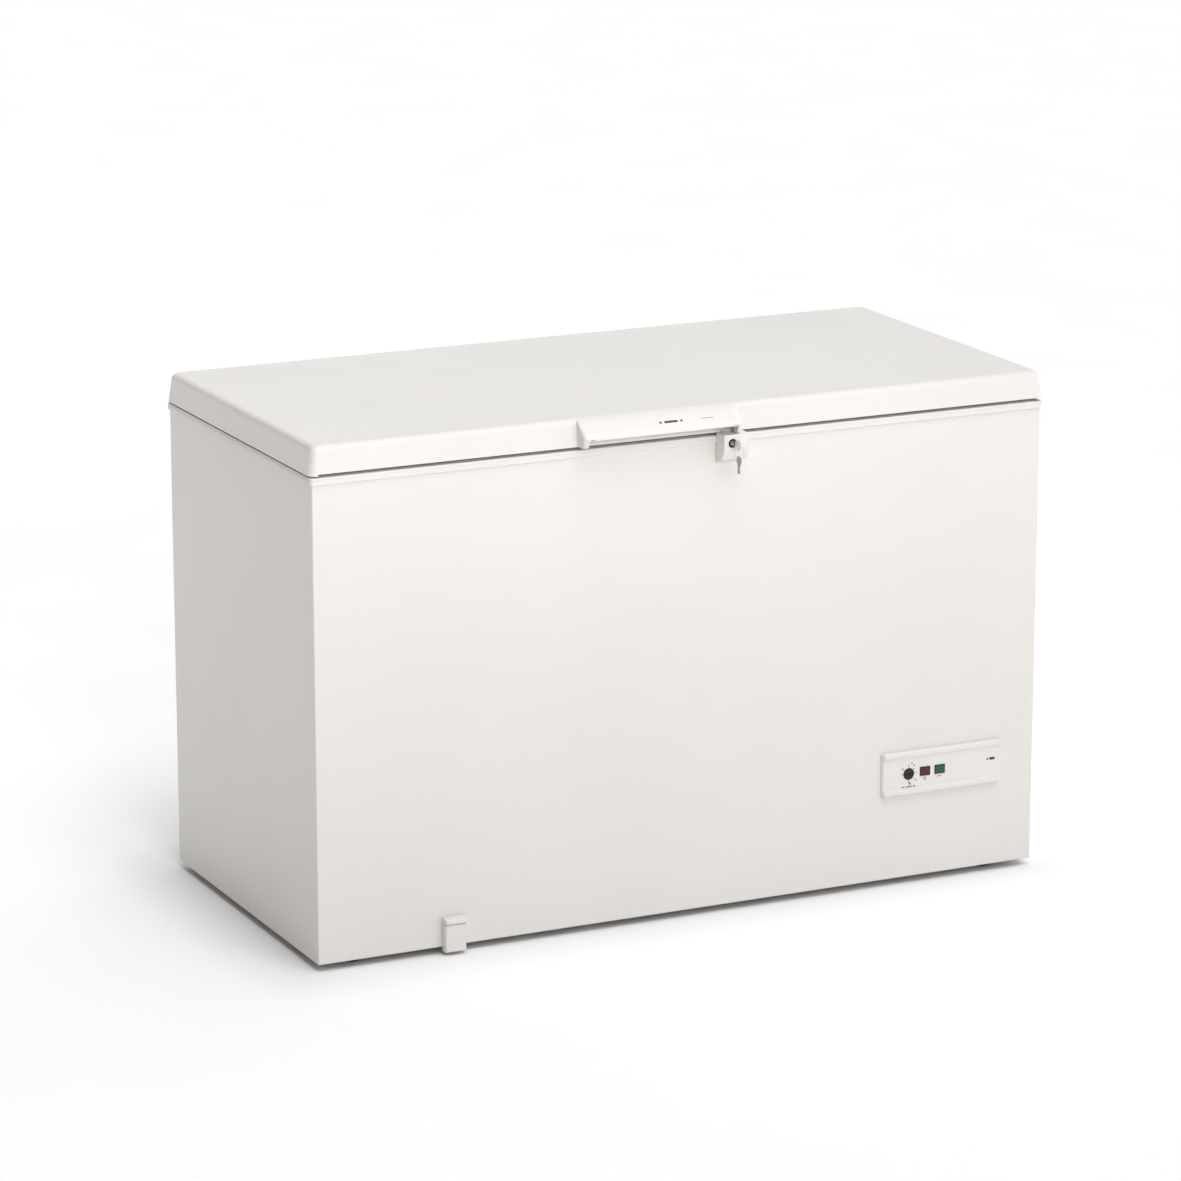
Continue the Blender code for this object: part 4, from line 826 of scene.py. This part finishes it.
def lock_case():
    """Moulded lock housing with a sloping underside and a raised collar for the barrel."""
    low, high = LOCK_LOW, LOCK_HIGH
    front, back, wall = LOCK_LOW.y, FRONT - GAP, 0.0025
    outline = [(back, low.z), (back, high.z), (front, high.z), (front, 0.8380), (FRONT - 0.024, 0.8220)]
    hollow = [(FRONT + 0.01, low.z + 0.0035), (FRONT + 0.01, high.z - wall), (front + wall, high.z - wall)]
    hollow += [(front + wall, 0.8388), (FRONT - 0.0228, 0.8245)]
    obj = make_object("lock_case", prism(outline, low.x, high.x))
    soften(obj, 0.0020, 4)
    edge = [(0.0026, -0.0329), (0.0022, -0.0334), (0.0010, -0.0336), (0.0, -0.0300)]
    collar = turned([(BARREL_R + out, along) for out, along in edge], (LOCK_X, FRONT, LOCK_Z), "Y")
    boolean(obj, collar, "UNION")
    trim_clear = FRONT - 0.0034 - GAP
    boolean(obj, prism(hollow, low.x + wall, high.x - wall))
    boolean(obj, box(low.x - 0.01, high.x + 0.01, trim_clear, FRONT + 0.01, SKIRT_LOW - GAP, 0.9))
    boolean(obj, rod((LOCK_X, FRONT, LOCK_Z), "Y", BARREL_R + 0.0002, -0.06, -0.02))
    boolean(obj, box(LOCK_X - 0.0110, LOCK_X + 0.0225, FRONT - 0.0125, FRONT - 0.0065, high.z - 0.01, 0.9))
    dress(obj, "cabinet", "white_plastic", replaces=("lock_housing",))


def lock_barrel():
    """Black-rimmed barrel with a dished metal plug and a keyway."""
    centre = (LOCK_X, FRONT, LOCK_Z)
    face = BARREL_LOW.y - FRONT
    rim = [(0.0, 0.0260), (0.0, 0.0010), (0.0006, 0.0002), (0.0016, 0.0), (0.0026, 0.0008), (0.0027, 0.0230)]
    rim = [(BARREL_R - inset, face + along) for inset, along in rim]
    shell = turned(rim, centre, "Y", closed=True)
    piece("lock_barrel", shell, "lock", "black_plastic", ("lock_cylinder",), sharp=40)
    plug_r = BARREL_R - 0.0029
    plug = [(plug_r, 0.0230), (plug_r, 0.0016), (plug_r - 0.0007, 0.0010), (0.0020, 0.0018)]
    plug = [(radius, face + along) for radius, along in plug]
    half, tall = 0.0012, 0.0041
    keyway = box(LOCK_X - half, LOCK_X + half, FRONT - 0.06, FRONT - 0.0125, LOCK_Z - tall, LOCK_Z + tall)
    piece("lock_plug", turned(plug, centre, "Y"), "lock", "barrel_metal", cuts=(keyway,))


def key_bow(centre, long, wide, axis_up, thick):
    """Rounded key head in the YZ plane, its long side along Y, or along Z with axis_up."""
    half_l, half_w = long / 2, wide / 2
    y, z = centre
    if axis_up:
        half_l, half_w = half_w, half_l
    radius = min(half_l, half_w) * 0.82
    outline = flat_rect(y - half_l, y + half_l, z - half_w, z + half_w, radius)
    return prism(outline, LOCK_X - thick / 2, LOCK_X + thick / 2)


def key_blade(start, end, half, thick, teeth=5):
    """Blade along Y or Z from start to end, with cuts along one edge and a pointed tip."""
    (y0, z0), (y1, z1) = start, end
    along = Vector((y1 - y0, z1 - z0))
    length = along.length
    along.normalize()
    side = Vector((-along.y, along.x))
    depths = (0.0, 0.45, 0.15, 0.6, 0.3, 0.0)
    points = [(0.0, -half)]
    step = length * 0.70 / teeth
    for i in range(teeth):
        cut = half * 0.9 * depths[i % len(depths)]
        points += [(length * 0.16 + step * i, -half + cut), (length * 0.16 + step * (i + 0.6), -half + cut)]
    points += [(length * 0.90, -half), (length, 0.0), (length * 0.93, half), (0.0, half)]
    outline = [(y0 + along.x * a + side.x * b, z0 + along.y * a + side.y * b) for a, b in points]
    return prism(outline, LOCK_X - thick / 2, LOCK_X + thick / 2)


def keys():
    """The key in the lock, the ring through its head, and the spare that hangs from the ring."""
    ring_y = (RING_LOW.y + RING_HIGH.y) / 2
    ring_r = (RING_HIGH.x - RING_LOW.x) / 2 - 0.0007
    ring_z = (RING_LOW.z + RING_HIGH.z) / 2
    bow_y, thick = KEY_LOW.y + 0.0095, 0.0020
    bow = key_bow((bow_y, LOCK_Z), 0.0184, 0.0184, False, thick)
    shaft_end = BARREL_LOW.y + 0.0165
    blade = key_blade((bow_y + 0.007, LOCK_Z), (shaft_end, LOCK_Z), 0.0038, 0.0019)
    half, tall = 0.0012, 0.0050
    shoulder = soft_box(
        LOCK_X - half, LOCK_X + half, bow_y + 0.0070, bow_y + 0.0125, LOCK_Z - tall, LOCK_Z + tall, 0.0005, 2
    )
    hole = rod((LOCK_X, ring_y, LOCK_Z), "X", 0.0026, -0.01, 0.01)
    piece("key_in_lock", bow, "lock", "key_metal", ("key",), (hole,), (blade, shoulder), 0.0003, 2)

    loop = [(a, ring_y, b) for a, b in circle(LOCK_X, ring_z, ring_r, 72)]
    ring = sweep(loop, 0.0006, 10, closed=True)
    piece("split_ring", ring, "key_ring", "zinc_bright", ("key_ring",))

    hole_z = ring_z - ring_r - 0.0017
    head_z = SPARE_HIGH.z - 0.0078
    head = key_bow((ring_y, head_z), 0.0152, 0.0150, True, 0.0018)
    tail = key_blade((ring_y, head_z - 0.006), (ring_y, SPARE_LOW.z + 0.0002), 0.0034, 0.0017)
    hole = rod((LOCK_X, ring_y, hole_z), "X", 0.0026, -0.01, 0.01)
    node, cuts, joins = "spare_key", (hole,), (tail,)
    piece("spare_key_cut", head, node, "spare_metal", (node,), cuts, joins, 0.0003, 2)


# ---------------------------------------------------------------- control panel


def fascia_section(depth_share, inset):
    """Half-round bands along the top and bottom with a flat sunk face between, as (y, z)."""
    low, high = FASCIA_LOW.z + inset, FASCIA_HIGH.z - inset
    proud = (FRONT - FASCIA_LOW.y) * depth_share
    face = (FRONT - FASCIA_FACE) * depth_share
    r = 0.0042
    turn = [(proud - r + r * math.sin(a), r * (1 - math.cos(a))) for a in quarter(6)]
    lower = [(proud, 0.0080), (proud - 0.0006, 0.0105), (face + 0.0002, 0.0122), (face, 0.0136)]
    upper = [(face, 0.0124), (face + 0.0002, 0.0112), (proud - 0.0005, 0.0098), (proud, 0.0074)]
    points = [(0.0003, low)] + [(depth, low + rise) for depth, rise in turn + lower]
    points += [(depth, high - fall) for depth, fall in upper + turn[::-1]] + [(0.0003, high)]
    return [(FRONT - max(depth, 0.0003), z) for depth, z in points]


LAMPS = ("red_signal_lamp", "green_signal_lamp")


def drawn_in(node, inset):
    """A node's range across and its range upwards, each drawn in by an inset at both ends."""
    low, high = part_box(node)
    return (low.x + inset, high.x - inset), (low.z + inset, high.z - inset)


def control_fascia():
    left, right = FASCIA_LOW.x, FASCIA_HIGH.x
    ends = [(0.0, 0.10, 0.0034), (0.0012, 0.45, 0.0016), (0.0028, 0.80, 0.0004), (0.0048, 1.0, 0.0)]
    rings = [[(left + x, y, z) for y, z in fascia_section(depth, inset)] for x, depth, inset in ends]
    rings += [
        [(right - x, y, z) for y, z in fascia_section(depth, inset)] for x, depth, inset in reversed(ends)
    ]
    well = rod((KNOB_X, FRONT, KNOB_Z), "Y", KNOB_R + 0.0005, -0.02, -0.0006)
    windows = []
    for node in LAMPS:
        across, tall = drawn_in(node, -0.0002)
        windows.append(box(*across, FRONT - 0.02, FRONT - 0.0006, *tall))
    cuts = (joined(well, *windows),)
    fascia = loft(rings)
    piece("control_fascia", fascia, "cabinet", "white_plastic", ("control_bezel",), cuts, sharp=30)


def signal_lamps():
    """Each lamp is a dark snap-in frame round a faceted colour lens."""
    face = FRONT - 0.0075
    for node in LAMPS:
        colour = node.split("_")[0]
        across, tall = drawn_in(node, 0.0)
        rim = soft_box(*across, face, FRONT - 0.0010, *tall, 0.0006, 2)
        across, tall = drawn_in(node, 0.0012)
        cut = box(*across, face - 0.01, face + 0.0030, *tall)
        piece(f"{colour}_lamp_frame", rim, "cabinet", "black_plastic", cuts=(cut,))
        across, tall = drawn_in(node, 0.0013)
        pane = soft_box(*across, face + 0.0002, face + 0.0028, *tall, 0.0005, 3)
        lens = piece(f"{colour}_lamp_lens", pane, "cabinet", f"{colour}_lens")
        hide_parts(node)


def dial_knob():
    """Flat black knob with a fluted edge and a coin slot."""
    centre = (KNOB_X, FRONT, KNOB_Z)
    face = KNOB_LOW.y - FRONT
    edge = [(0.0, 0.0062), (0.0, 0.0010), (0.0003, 0.0004), (0.0009, 0.0001), (0.0016, 0.0), (0.0022, 0.0003)]
    profile = [(KNOB_R - inset, face + along) for inset, along in edge] + [(0.0030, face + 0.0003)]
    spots = circle(KNOB_X, KNOB_Z, KNOB_R + 0.0002, 30)
    flutes = joined(*[rod((x, FRONT, z), "Y", 0.0004, -0.02, 0.0, 6) for x, z in spots])
    slot = flat_rect(KNOB_X - 0.0080, KNOB_X + 0.0080, KNOB_Z - 0.0010, KNOB_Z + 0.0010, 0.0009)
    coin = prism(slot, FRONT - 0.02, FRONT + face + 0.0018, "Y")
    body, node = turned(profile, centre, "Y", 90), "thermostat_knob"
    piece("dial_knob", body, node, "black_plastic", replaces=(node,), cuts=(flutes, coin))


def dash(x, z, wide, tall, angle=0.0):
    """A flat printed bar on the panel's face, turned about its own middle."""
    near, far = FASCIA_FACE - 0.00006, FASCIA_FACE + 0.0001
    bar = box(x - wide / 2, x + wide / 2, near, far, z - tall / 2, z + tall / 2)
    return turned_bm(bar, -angle, "Y", (x, FASCIA_FACE, z))


def printed_marks():
    """Scale round the dial, plain symbols under the lamps and a plain badge at the right."""
    marks = []
    short = 0.0030
    scale = ((90, 0.0052), (40, short), (5, short), (-40, short), (-90, 0.0056), (140, short), (180, 0.0036))
    for degrees, length in scale:
        turn = math.radians(degrees)
        radius = KNOB_R + 0.0016 + length / 2
        spot = (KNOB_X + radius * math.cos(turn), KNOB_Z + radius * math.sin(turn))
        marks.append(dash(*spot, length, 0.0011, degrees))
    for x, z in ((0.0062, 0.0190), (0.0104, 0.0150), (-0.0130, 0.0105), (0.0142, -0.0122)):
        marks.append(dash(KNOB_X + x, KNOB_Z + z, 0.0032, 0.0018))
    for i in range(3):
        marks.append(dash(KNOB_X + 0.0024, KNOB_Z - 0.0185, 0.0044, 0.0010, 60 * i))
    for i, wide in enumerate((0.0042, 0.0024, 0.0058, 0.0030, 0.0042)):
        marks.append(dash(KNOB_X - 0.0115 + 0.0058 * i, KNOB_Z - 0.0238, wide, 0.0024))
    for node in LAMPS:
        x, z = middle(node)[0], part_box(node)[0].z
        marks += [dash(x - 0.0010, z - 0.0048, 0.0058, 0.0013), dash(x + 0.0026, z - 0.0048, 0.0010, 0.0008)]
    x, z = middle(LAMPS[0])[0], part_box(LAMPS[0])[0].z
    marks += [dash(x, z - 0.0078, 0.0048, 0.0011), dash(x, z - 0.0024, 0.0016, 0.0016, 45)]
    badge_x, badge_z = 0.607, 0.2145
    marks.append(dash(badge_x + 0.0030, badge_z, 0.0110, 0.0050))
    for i in range(3):
        marks.append(dash(badge_x - 0.0066, badge_z, 0.0050, 0.0010, 60 * i))
    piece("panel_print", joined(*marks), "cabinet", "ink")


# ---------------------------------------------------------------- drain


def cap_ring(front, z, radius=0.0040):
    """Plan outline of the drain cap at height z: flat behind, round at its two front corners."""
    x0, x1, back = CAP_LOW.x, CAP_HIGH.x, FRONT - GAP
    left = arc(x0 + radius, front + radius, radius, 180, 270, 6)
    right = arc(x1 - radius, front + radius, radius, 270, 360, 6)
    return [(x, y, z) for x, y in [(x0, back), *left, *right, (x1, back)]]


def drain_cap():
    """Push-on cap: rounded face, a pull lip along its top with a groove below, and the spigot behind."""
    low, high = CAP_LOW.z, CAP_HIGH.z
    face, proud = FRONT - 0.0150, CAP_LOW.y
    profile = [(face + 0.0016, low), (face + 0.0005, low + 0.0005), (face, low + 0.0016)]
    profile += [(face, 0.0548), (face + 0.0022, 0.0553), (face + 0.0022, 0.0568)]
    profile += [(proud + 0.0012, 0.0572), (proud + 0.0002, 0.0580), (proud, 0.0592), (proud, 0.0622)]
    profile += [(proud + 0.0008, 0.0642), (proud + 0.0028, 0.0658), (proud + 0.0090, 0.0670)]
    profile += [(proud + 0.0130, high)]
    obj = make_object("drain_cap", loft([cap_ring(*spot) for spot in profile]))
    across = (CAP_LOW.x + 0.0025, CAP_HIGH.x - 0.0025)
    boolean(obj, box(*across, face + 0.0042, FRONT + 0.01, low + 0.0020, high - 0.0025))
    pipe = [(0.0080, -0.0120), (0.0080, 0.0570), (0.0074, 0.0580), (0.0062, 0.0580), (0.0062, -0.0120)]
    spigot = turned(pipe, (DRAIN_X, FRONT, DRAIN_Z), "Y", 32, closed=True)
    boolean(obj, spigot, "UNION")
    dress(obj, "drain_cover", "white_plastic", replaces=("drain_cover",))


def drain_stopper():
    centre = (DRAIN_X, PLUG_Y, PLUG_Z)
    profile = [(0.0060, -0.0180), (0.0065, -0.0174), (0.0080, -0.0040), (0.0082, -0.0020), (0.0082, 0.0005)]
    profile += [(0.0152, 0.0005), (0.0160, 0.0012), (0.0160, 0.0026), (0.0150, 0.0035), (0.0060, 0.0042)]
    profile += [(0.0045, 0.0060), (0.0045, 0.0100), (0.0062, 0.0118), (0.0075, 0.0128), (0.0075, 0.0148)]
    profile += [(0.0064, 0.0160)]
    stopper, node = turned(profile, centre, "Z"), "drain_plug"
    piece("drain_stopper", stopper, node, "rubber", replaces=(node,), sharp=50)


# ---------------------------------------------------------------- baskets


def wire_basket(side):
    """Welded wire basket: rim frame, hoops across both ways, level rings and two grips."""
    node = f"{side}_basket"
    low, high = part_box(node)
    cx, cy = (low.x + high.x) / 2, (low.y + high.y) / 2
    rim_z = high.z - 0.0026
    wide, deep = 0.1420, 0.2430
    taper = 0.006
    bottom = low.z + 0.0018
    thin, thick = 0.0014, 0.0026
    shapes = []

    def level_ring(z, radius, grow=0.0):
        share = (rim_z - z) / (rim_z - bottom)
        half_x, half_y = wide - taper * share + grow, deep - taper * share + grow
        ring = rounded_rect(cx - half_x, cx + half_x, cy - half_y, cy + half_y, 0.020, z, 5)
        return sweep(ring, radius, 8, closed=True)

    shapes.append(level_ring(rim_z - 0.001, thick, 0.0005))
    for i in range(1, 6):
        shapes.append(level_ring(rim_z - i * (rim_z - bottom) / 6, thin, -2 * thin))
    for i in range(-7, 8):
        y = cy + i * 0.0305
        hoop = [(cx - wide, y, rim_z), (cx - wide + taper, y, bottom)]
        hoop += [(cx + wide - taper, y, bottom), (cx + wide, y, rim_z)]
        shapes.append(sweep(round_corners(hoop, 0.016), thin, 6))
    for i in range(-4, 5):
        x = cx + i * 0.0300
        hoop = [(x, cy - deep, rim_z), (x, cy - deep + taper, bottom + 2 * thin)]
        hoop += [(x, cy + deep - taper, bottom + 2 * thin), (x, cy + deep, rim_z)]
        shapes.append(sweep(round_corners(hoop, 0.016), thin, 6))
    for end in (-1, 1):
        reach = (high.y - low.y) / 2 - 0.0022
        for x in (cx - 0.095, cx + 0.095):
            y0, y1 = cy + end * (deep - 0.001), cy + end * reach
            x0, x1 = x - 0.022, x + 0.022
            hook = [(x0, y0, rim_z), (x0, y1, rim_z), (x1, y1, rim_z), (x1, y0, rim_z)]
            shapes.append(sweep(round_corners(hook, 0.005), 0.0020, 8))
    piece(f"{side}_basket_wire", joined(*shapes), node, "coated_wire", replaces=(node,), sharp=60)
    for end in (-1, 1):
        y = cy + end * deep
        grip_x, grip_y = (cx - 0.045, cx + 0.045), (y - 0.0042, y + 0.0042)
        grip = soft_box(*grip_x, *grip_y, rim_z - 0.0058, rim_z + 0.0024, 0.0024, 4)
        name = f"{side}_basket_grip_{'front' if end < 0 else 'back'}"
        piece(name, grip, node, "white_plastic")


# ---------------------------------------------------------------- back and machinery


def hinge_details(side):
    """Softened bracket and leaf, round pin with peened head, coiled spring and screw heads."""
    refined(f"hinge_bracket_{side}", f"hinge_bracket_{side}_pressed", "cabinet", "galvanised", bevel=0.0003)
    refined(f"hinge_leaf_{side}", f"hinge_leaf_{side}_pressed", "lid", "galvanised", bevel=0.0003)
    node = f"hinge_pin_{side}"
    low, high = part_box(node)
    centre = middle(node)
    half = (high.x - low.x) / 2
    pin = [(0.0024, -half), (0.0030, -half + 0.0006), (0.0030, half - 0.0024), (0.0044, half - 0.0022)]
    pin += [(0.0045, half - 0.0014), (0.0036, half - 0.0004), (0.0018, half)]
    piece(f"{node}_turned", turned(pin, centre, "X"), "cabinet", "steel", replaces=(node,))
    spring = f"hinge_spring_{side}"
    coil_low, coil_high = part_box(spring)
    turns, steps = 7, 20
    length = coil_high.x - coil_low.x - 0.0016
    route = []
    for i in range(turns * steps + 1):
        a = 2 * math.pi * i / steps
        along = coil_low.x + 0.0008 + length * i / (turns * steps)
        route.append((along, centre[1] + 0.0045 * math.cos(a), centre[2] + 0.0045 * math.sin(a)))
    piece(f"{spring}_coil", sweep(route, 0.0007, 8), "cabinet", "steel", replaces=(spring,), sharp=60)
    rows = (("bracket", "cabinet", 0.8080, (-0.022, 0.0, 0.022)), ("leaf", "lid", 0.8950, (-0.034, 0.034)))
    for plate, body, z, places in rows:
        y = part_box(f"hinge_{plate}_{side}")[0].y + 0.0020
        heads = [screw_head((centre[0] + x, y, z), 0.0036) for x in places]
        piece(f"hinge_{plate}_{side}_screws", joined(*heads), body, "zinc_bright")


def screw_head(centre, radius):
    """Domed head facing +Y with a crossed recess, as one closed shape."""
    dome = ((1.0, 0.0), (1.0, 0.0005), (0.92, 0.0011), (0.70, 0.0017), (0.35, 0.0020))
    obj = make_object("head", turned([(radius * share, rise) for share, rise in dome], centre, "Y", 24))
    x, y, z = centre
    arm, half = radius * 0.55, radius * 0.11
    boolean(obj, box(x - arm, x + arm, y + 0.0009, y + 0.01, z - half, z + half))
    boolean(obj, box(x - half, x + half, y + 0.0009, y + 0.01, z - arm, z + arm))
    return taken(obj)


def back_fittings():
    refined("rear_grille", "rear_grille_slats", "cabinet", "black_plastic", bevel=0.0005)
    for number in (1, 2):
        node = f"grille_screw_{number}"
        x, _, z = middle(node)
        shank = rod((x, BACK, z), "Y", 0.0024, -0.0080, 0.0045, 24)
        body = joined(screw_head((x, BACK + 0.0038, z), 0.0048), shank)
        piece(f"{node}_head", body, "cabinet", "zinc_bright", (node,))
    x, _, z = middle("cord_gland")
    bush = [(0.0085, 0.0003), (0.0085, 0.0016), (0.0078, 0.0024), (0.0066, 0.0028), (0.0062, 0.0056)]
    bush += [(0.0058, 0.0060), (0.0048, 0.0060), (0.0045, 0.0056), (0.0045, 0.0003)]
    bush = turned(bush, (x, BACK, z), "Y", closed=True)
    piece("cord_gland_bush", bush, "cabinet", "black_plastic", replaces=("cord_gland",))


MOUNTS = [f"compressor_mount_{number}" for number in range(1, 5)]


def machinery():
    """Nodes whose CAD shape is right get a finish, and the plain ones get softened edges."""
    finishes = {
        "galvanised": ("base_panel", "bay_liner"),
        "foam": ("cabinet_foam", "lid_foam"),
        "copper": ("evaporator_coil", "condenser_coil", "discharge_tube", "suction_tube", "capillary_tube"),
        "white_plastic": ("drain_tube",),
    }
    for finish, nodes in finishes.items():
        for node in nodes:
            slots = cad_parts[node].data.materials
            slots.clear()
            slots.append(MATERIALS[finish])
    refined("compressor_tray", "compressor_tray_pressed", "cabinet", "galvanised", bevel=0.0002)
    refined("relay_cover", "relay_cover_moulded", "cabinet", "black_plastic", bevel=0.0008)
    refined("thermostat", "thermostat_body", "cabinet", "steel", bevel=0.0004)
    refined("filter_drier", "filter_drier_spun", "cabinet", "copper", bevel=0.0)
    refined("lock_cam", "lock_cam_cut", "lock", "zinc_bright", bevel=0.0003)
    refined("lock_striker", "lock_striker_bent", "lid", "zinc_bright", bevel=0.0002)
    for node in MOUNTS:
        refined(node, f"{node}_moulded", "cabinet", "rubber", bevel=0.0004)
    compressor_shell()


def compressor_shell():
    """Welded steel shell with its seam, its foot plate and the pad behind the relay."""
    low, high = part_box("compressor")
    x = middle("compressor")[0]
    y = (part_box("compressor_mount_1")[0].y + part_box("compressor_mount_2")[1].y) / 2
    base, top, radius = low.z + 0.0026, high.z, 0.072
    profile = [(0.034, 0.0), (0.048, 0.002), (0.060, 0.009), (0.069, 0.020), (radius, 0.034)]
    profile += [(radius, 0.0820), (radius + 0.003, 0.0830), (radius + 0.003, 0.0890), (radius, 0.0900)]
    profile += [(radius - 0.001, 0.1180)]
    for i in range(1, 7):
        a = math.radians(15 * i)
        rise = 0.1250 + (top - base - 0.1255) * math.sin(a)
        profile.append(((radius - 0.002) * math.cos(a) + 0.0006, rise))
    shell = turned(profile, (x, y, base), "Z", 64)
    plate = prism(flat_rect(x - 0.105, x + 0.105, y - 0.066, y + 0.066, 0.012), low.z, low.z + 0.003, "Z")
    pad = box(x - 0.018, x + 0.018, y - radius - 0.004, y - 0.05, 0.095, 0.135)
    holes = joined(*[rod((*middle(node)[:2], low.z), "Z", 0.0065, -0.01, 0.01, 24) for node in MOUNTS])
    node = "compressor"
    piece("compressor_shell", shell, "cabinet", "black_enamel", (node,), (holes,), (plate, pad))


# ---------------------------------------------------------------- stage


CAMERA_PLACE = (-3.726, -7.3785 + FRONT, 2.739)
CAMERA_TILT = 90 - 14.56
CAMERA_TURN = -25.63
LENS = 150.9
FLOOR_REACH = 60
# The floor's glow is painted light. Between these two distances from the cabinet it fades out, which leaves a
# painted contact shadow.
FLOOR_PAINTED_GLOW = 0.12
PAINTED_SHADOW_FROM, PAINTED_SHADOW_TO = 0.02, 0.15
SKY_STRENGTH = 0.90
DARK_END, PALE_START = 0.26, 0.46


def set_stage():
    """Pale floor, soft studio light and the camera."""
    scene = bpy.context.scene
    scene.view_settings.view_transform = "Standard"
    scene.view_settings.look = "None"

    camera = bpy.data.cameras.new("camera")
    camera.lens = LENS
    camera.sensor_width = 36.0
    camera.clip_end = 200.0
    seat = placed("camera", camera)
    seat.location = CAMERA_PLACE
    seat.rotation_euler = (math.radians(CAMERA_TILT), 0.0, math.radians(CAMERA_TURN))
    scene.camera = seat

    lay_floor()
    paint_world(scene)
    add_light("front_key", (-0.6, -3.4, 2.05), (-0.3, FRONT, 1.02), (2.8, 0.5), 3.5, 34)
    sun = bpy.data.lights.new("high_front", "SUN")
    sun.energy = 1.02
    sun.angle = math.radians(34)
    aim(placed("high_front", sun), (0.0, 0.42, -0.907))
    add_light("side_key", (-2.4, 1.7, 1.6), (-HALF, 0.42, 0.75), (0.8, 0.8), 0.35, 44)


def lay_floor():
    """Matt white slab that glows faintly as painted light, except close to the cabinet, where the missing
    glow leaves a painted contact shadow.
    """
    reach = FLOOR_REACH
    slab = loft([rounded_rect(-reach, reach, -reach, reach, 1.0, z, 2) for z in (-0.05, 0.0)])
    floor = make_object("floor", slab)
    paint = Graph("floor")
    paint.colours(paint.noise(3.0), (0.3, (0.93, 0.93, 0.93)), (0.7, (0.95, 0.95, 0.95)))
    paint.set(Roughness=0.9, Specular_IOR_Level=0.0, Emission_Color=(1.0, 1.0, 1.0, 1.0))
    # Painted contact shadow: no glow next to the footprint, rising to the full painted glow a few centimetres
    # out.
    painted_glow = paint.spread(distance_from_cabinet(paint), 0.0, FLOOR_PAINTED_GLOW, PAINTED_SHADOW_FROM, PAINTED_SHADOW_TO)
    paint.links.new(painted_glow, paint.shader.inputs["Emission Strength"])
    floor.data.materials.append(paint.material)


def distance_from_cabinet(graph):
    """Distance on the floor from the cabinet's footprint."""
    centred = vector_step(graph, "SUBTRACT", graph.place, (0.0, (FRONT + BACK) / 2, 0.0))
    folded = vector_step(graph, "ABSOLUTE", centred)
    outside = vector_step(graph, "SUBTRACT", folded, (HALF, (BACK - FRONT) / 2, 10.0))
    return vector_step(graph, "LENGTH", vector_step(graph, "MAXIMUM", outside, (0.0, 0.0, 0.0)))


def vector_step(graph, operation, source, value=None):
    node = graph.nodes.new("ShaderNodeVectorMath")
    node.operation = operation
    graph.links.new(source, node.inputs[0])
    if value:
        node.inputs[1].default_value = value
    return node.outputs["Value" if operation == "LENGTH" else "Vector"]


def paint_world(scene):
    """White surroundings that turn dark towards the cabinet's left."""
    world = bpy.data.worlds.new("studio")
    scene.world = world
    world.use_nodes = True
    nodes, links = world.node_tree.nodes, world.node_tree.links
    place = nodes.new("ShaderNodeTexCoord")
    split = nodes.new("ShaderNodeSeparateXYZ")
    ramp = nodes.new("ShaderNodeValToRGB")
    spread = nodes.new("ShaderNodeMapRange")
    links.new(place.outputs["Generated"], split.inputs["Vector"])
    links.new(split.outputs["X"], spread.inputs["Value"])
    spread.inputs["From Min"].default_value = -1.0
    spread.inputs["From Max"].default_value = 1.0
    links.new(spread.outputs["Result"], ramp.inputs["Fac"])
    dark, pale = ramp.color_ramp.elements
    dark.position, dark.color = DARK_END, (0.12, 0.11, 0.10, 1.0)
    pale.position, pale.color = PALE_START, (1.0, 1.0, 1.0, 1.0)
    links.new(ramp.outputs["Color"], nodes["Background"].inputs["Color"])
    nodes["Background"].inputs["Strength"].default_value = SKY_STRENGTH


def add_light(name, place, target, size, power, spread):
    """A soft rectangular light, aimed at a point, its beam narrowed to the spread in degrees."""
    light = bpy.data.lights.new(name, "AREA")
    light.shape = "RECTANGLE"
    light.size, light.size_y = size
    light.energy = power
    light.spread = math.radians(spread)
    obj = placed(name, light)
    obj.location = place
    aim(obj, Vector(target) - Vector(place))


def aim(lamp, direction):
    lamp.rotation_euler = Vector(direction).to_track_quat("-Z", "Y").to_euler()


# ---------------------------------------------------------------- the freezer


def main():
    cabinet_wrapper()
    back_panel()
    rim_frame()
    tank_liner()
    feet()
    lid_cover()
    lid_inner()
    lid_seal()
    handle_visor()
    handle_mark()
    lock_case()
    lock_barrel()
    keys()
    control_fascia()
    signal_lamps()
    dial_knob()
    printed_marks()
    drain_cap()
    drain_stopper()
    for side in ("left", "right"):
        wire_basket(side)
        hinge_details(side)
    back_fittings()
    machinery()
    set_stage()


main()
